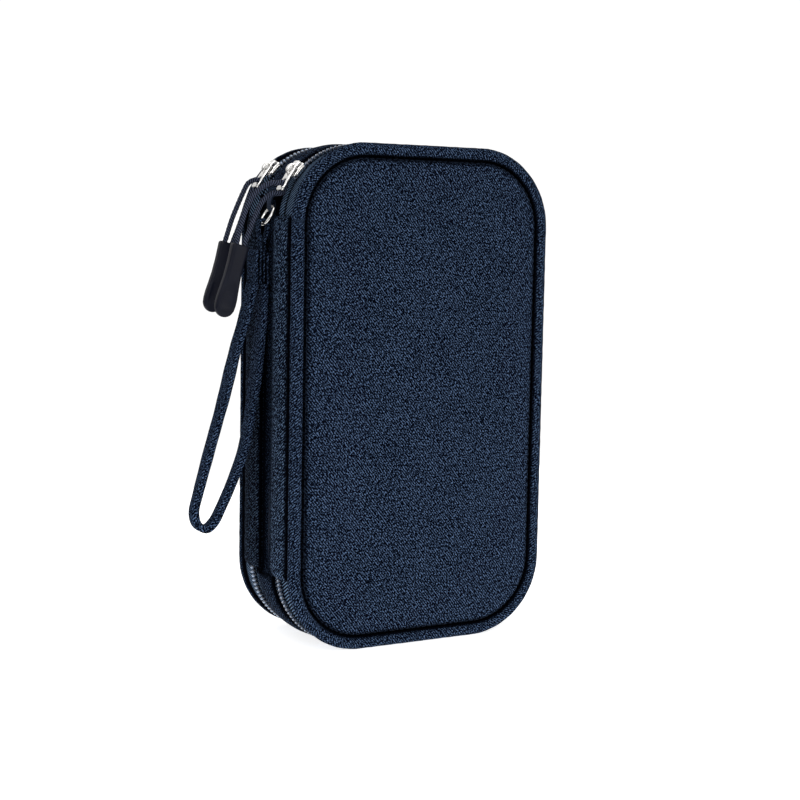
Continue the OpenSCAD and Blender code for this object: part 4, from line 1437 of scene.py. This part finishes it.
slope = math.radians(RING_DEG)
ring_dir = Vector((math.cos(slope), 0, -math.sin(slope)))
ring_mid = RING_TOP + ring_dir * RING_R
hoop = [ring_mid + (ring_dir * math.cos(t) + Y_AXIS * (0.86 * math.sin(t))) * RING_R
        for t in (2 * math.pi * k / 96 + 1.1 for k in range(96))]


def wire(run, a, b):
    # The butt joint of the bent wire shows as a fine groove
    total = 2 * math.pi * RING_R
    gap = min(run, total - run)
    f = 1.0 - 0.16 * math.exp(-(gap / 0.16) ** 2)
    return a * f, b * f


hoop_obj = sweep("strap_ring_wire", hoop, circle(RING_WIRE_R, 16), M_CHROME, hint=ring_dir.cross(Y_AXIS),
                 closed=True, shape=wire)
settle(hoop_obj, "strap_ring", "chrome", "strap_ring")

tab_turns = [-math.pi * k / 10 for k in range(1, 10)]
tab_path = [(-51.25, 171.2), (-51.2, 169.0), (-51.1, 167.0),
            *((RING_TOP.x + 1.6 * math.cos(t), RING_TOP.z + 1.6 * math.sin(t)) for t in tab_turns),
            (-54.45, 166.8), (-54.4, 168.1), (-53.85, 169.3), (-52.9, 169.95), (-52.05, 169.9)]
tab_line = even(spline([(x, RING_Y, z) for x, z in tab_path], 5), 0.25)
settle(sweep("anchor_tab_webbing", tab_line, flat_section(3.1, 0.66, 0.48, 4), M_WEBBING), "case", "navy_fabric",
       "anchor_tab")

ring_low = RING_TOP + ring_dir * (2 * RING_R)
LINK = [(-1.25, -9.8), (-1.3, -8.2), (-1.3, -6.4), (-1.45, -4.4), (-1.75, -2.2), (-1.72, -0.3), (-1.15, 1.25),
        (0.0, 1.78), (1.15, 1.25), (1.72, -0.3), (1.6, -2.2), (0.95, -4.4), (0.45, -6.4), (0.3, -8.2),
        (0.25, -9.8)]
link_line = even(spline([(ring_low.x + x, RING_Y, ring_low.z + z) for x, z in LINK], 6), 0.25)
link_long = line_length(link_line)


def link_shape(run, a, b):
    ends = min(run, link_long - run)
    wide = 1.0 + 0.55 * max(0.0, 1 - ends / 3.2) ** 1.5
    return a * wide * (1 + 0.03 * math.sin(run * 2.1)), b * (1 + 0.05 * math.sin(run * 1.7 + a))


link_obj = sweep("strap_link_cloth", link_line, flat_section(3.2, 0.92, 0.48, 4), M_STRAP, shape=link_shape)
# Painted shade in the gap between the link's two strands, below the ring.
write_painted_shade(link_obj, lambda x, y, z: rise(0.5, 0.15, abs(x - ring_low.x + 0.45))
        * rise(ring_low.z - 2.0, ring_low.z - 4.0, z))
settle(link_obj, "wrist_strap", "navy_fabric", "strap_link")

bundle_x = (-60.7, -59.3, -57.9, -56.5)
LOW, TOP = 137.5, 150.0
bundle_path = [(bundle_x[0] + 0.1, LOW - 0.2)]
for k, x in enumerate(bundle_x):
    up = k % 2 == 0
    leg = [(x, LOW + 2.0), (x - 0.05, (LOW + TOP) / 2), (x, TOP - 1.9)]
    bundle_path += leg if up else leg[::-1]
    if k < 3:
        turn, far = (TOP - 0.95, TOP - 0.35) if up else (LOW + 0.95, LOW + 0.35)
        bundle_path += [(x + 0.25, turn), (x + 0.7, far), (x + 1.15, turn)]
bundle_path.append((bundle_x[3] - 0.2, LOW - 0.2))
bundle_line = even(spline([(x, RING_Y, z) for x, z in bundle_path], 6), 0.3)


def bundle_shape(run, a, b):
    return a * (1.0 + 0.035 * math.sin(run * 0.13 + 0.6)), b * (1 + 0.05 * math.sin(run * 0.9 + a))


bundle = sweep("strap_bundle_cloth", bundle_line, flat_section(7.9, 1.28, 0.48, 4), M_STRAP, shape=bundle_shape)
# Painted shade in the gaps between the bundle's folds.
write_painted_shade(bundle, lambda x, y, z: rise(0.56, 0.2, abs((x + 61.4 + 0.7) % 1.4 - 0.7))
        * rise(0.35, 0.75, min(x + 61.4, -55.8 - x)))
settle(bundle, "wrist_strap", "navy_fabric", "strap_bundle")
tacks = []
for x, out in ((-61.4, -1), (-55.8, 1)):
    for z in (140.7, 141.8, 146.2, 147.3):
        line = [Vector((x, RING_Y - 3.0 + 0.5 * k, z + 0.12 * (-1) ** k)) for k in range(13)]
        tacks.append(stitches("tack", line, [out * X_AXIS] * 13, pitch=1.3, length=1.05, radius=0.15))
settle(join("strap_bundle_tacks", tacks, M_THREAD), "wrist_strap", "navy_fabric")


# ---------------------------------------------------------------- inner pocket's slider

POCKET_X, POCKET_Z = -36.0, 132.0
POCKET_PIVOT = (-32.5, 16.6)


def facing_rear(x, y):
    """Axes of a flat piece that lies on the pocket's zipper line."""
    return basis((x, y, POCKET_Z), X_AXIS, Z_AXIS, -Y_AXIS)


outline = mirrored_loop([(0.0, 2.9), (3.0, 2.9), (7.0, 2.3)], 0.9)
parts = [flat_part("plate", [outline], 0.75, 0.25, facing_rear(POCKET_X, 18.05), M_CHROME),
         flat_part("low", [outline], 0.6, 0.2, facing_rear(POCKET_X, 20.7), M_CHROME)]
for dz in (-2.45, 2.45):
    line = [Vector((POCKET_X + 0.7 + 0.5 * k, 18.5, POCKET_Z + dz * (1.0 if k < 6 else 1.0 - 0.02 * (k - 5))))
            for k in range(11)]
    parts.append(bar("rail", line, flat_section(1.3, 0.6, 0.4, 3), hint=Y_AXIS))
neck = [Vector((POCKET_X + 0.9, y, POCKET_Z)) for y in (18.2, 19.0, 19.9, 20.6)]
parts.append(bar("neck", neck, circle(0.7, 10, 0.12), hint=X_AXIS))
route = rounded([(1.5, 18.0), (1.5, 16.0), (2.3, 15.15), (4.7, 15.15), (5.5, 16.0), (5.5, 18.0)], 0.8, 4)
arch = even([Vector((POCKET_X + u, y, POCKET_Z)) for u, y in route[4:-4]], 0.25)
parts.append(bar("arch", arch, flat_section(1.5, 0.75, 0.45, 4), hint=Z_AXIS))
metal("inner_slider_body", parts, 45, "pocket_slider", "pocket_slider")
tab = flat_part("tab", tab_loops(13.0, 4.6, 1.05, 3.3, 1.2, 3.4), 0.8, 0.26, facing_rear(*POCKET_PIVOT), M_CHROME)
pin = bar("pin", [Vector((*POCKET_PIVOT, POCKET_Z + 0.4 * k)) for k in range(-3, 4)], circle(0.5, 12),
          hint=Y_AXIS)
metal("inner_pull_tab_metal", [tab, pin], 40, "pocket_pull_tab", "pocket_pull_tab")


# ---------------------------------------------------------------- floor and light

def area_light(name, at, target, size, power):
    data = bpy.data.lights.new(name, "AREA")
    data.shape = "RECTANGLE"
    data.size, data.size_y = size
    data.energy = power
    lamp = link(name, data)
    lamp.location = at
    lamp.rotation_euler = (Vector(target) - Vector(at)).to_track_quat("-Z", "Y").to_euler()
    return lamp


floor_mesh = bpy.data.meshes.new("floor")
floor_mesh.from_pydata([(-0.35, -0.45, 0), (0.35, -0.45, 0), (0.35, 0.35, 0), (-0.35, 0.35, 0)], [],
                       [(0, 1, 2, 3)])
floor = link("floor", floor_mesh)
g = Graph("pale_floor")
grain = g.noise(g.new("TexCoord").outputs["Object"], 40.0, 2.0)
g.finish(Base_Color=g.ramp(grain, [(0.3, (0.86, 0.86, 0.86)), (0.7, (0.88, 0.88, 0.88))]), Roughness=0.9,
         Specular_IOR_Level=0.1, Emission_Color=(1, 1, 1, 1), Emission_Strength=0.82)
floor_mesh.materials.append(g.mat)

lamps = [
    area_light("key", (-0.55, -0.85, 0.75), (0.0, 0.0, 0.10), (0.5, 0.6), 4.6),
    area_light("front", (0.45, -1.0, 0.25), (0.0, 0.0, 0.09), (0.6, 0.5), 2.2),
    area_light("top", (0.1, 0.15, 0.95), (0.0, 0.0, 0.1), (0.6, 0.6), 2.4),
    area_light("behind", (0.5, 0.85, 0.4), (0.0, 0.0, 0.1), (0.6, 0.6), 2.0),
]

world = bpy.data.worlds.new("studio")
bpy.context.scene.world = world
world.use_nodes = True
wt = world.node_tree
wt.nodes.clear()
ray = wt.nodes.new("ShaderNodeLightPath")
# A white surround for the camera, a dim one for plain surfaces, and one that brightens upwards for reflections
seen, felt, mirrored = (wt.nodes.new("ShaderNodeBackground") for _ in range(3))
for shade, strength in ((seen, 1.05), (felt, 0.22), (mirrored, 1.0)):
    shade.inputs[0].default_value = (1, 1, 1, 1)
    shade.inputs[1].default_value = strength
place = wt.nodes.new("ShaderNodeTexCoord")
height = wt.nodes.new("ShaderNodeSeparateXYZ")
brighten = wt.nodes.new("ShaderNodeMapRange")
for i, value in enumerate((-0.2, 0.7, 0.25, 1.1), 1):
    brighten.inputs[i].default_value = value
pick, other = (wt.nodes.new("ShaderNodeMixShader") for _ in range(2))
done = wt.nodes.new("ShaderNodeOutputWorld")
for start, end in (
    (place.outputs["Generated"], height.inputs[0]), (height.outputs[2], brighten.inputs[0]),
    (brighten.outputs[0], mirrored.inputs[1]),
    (ray.outputs["Is Glossy Ray"], other.inputs[0]), (felt.outputs[0], other.inputs[1]),
    (mirrored.outputs[0], other.inputs[2]),
    (ray.outputs["Is Camera Ray"], pick.inputs[0]), (other.outputs[0], pick.inputs[1]),
    (seen.outputs[0], pick.inputs[2]), (pick.outputs[0], done.inputs[0]),
):
    wt.links.new(start, end)
bpy.context.scene.view_settings.view_transform = "Standard"
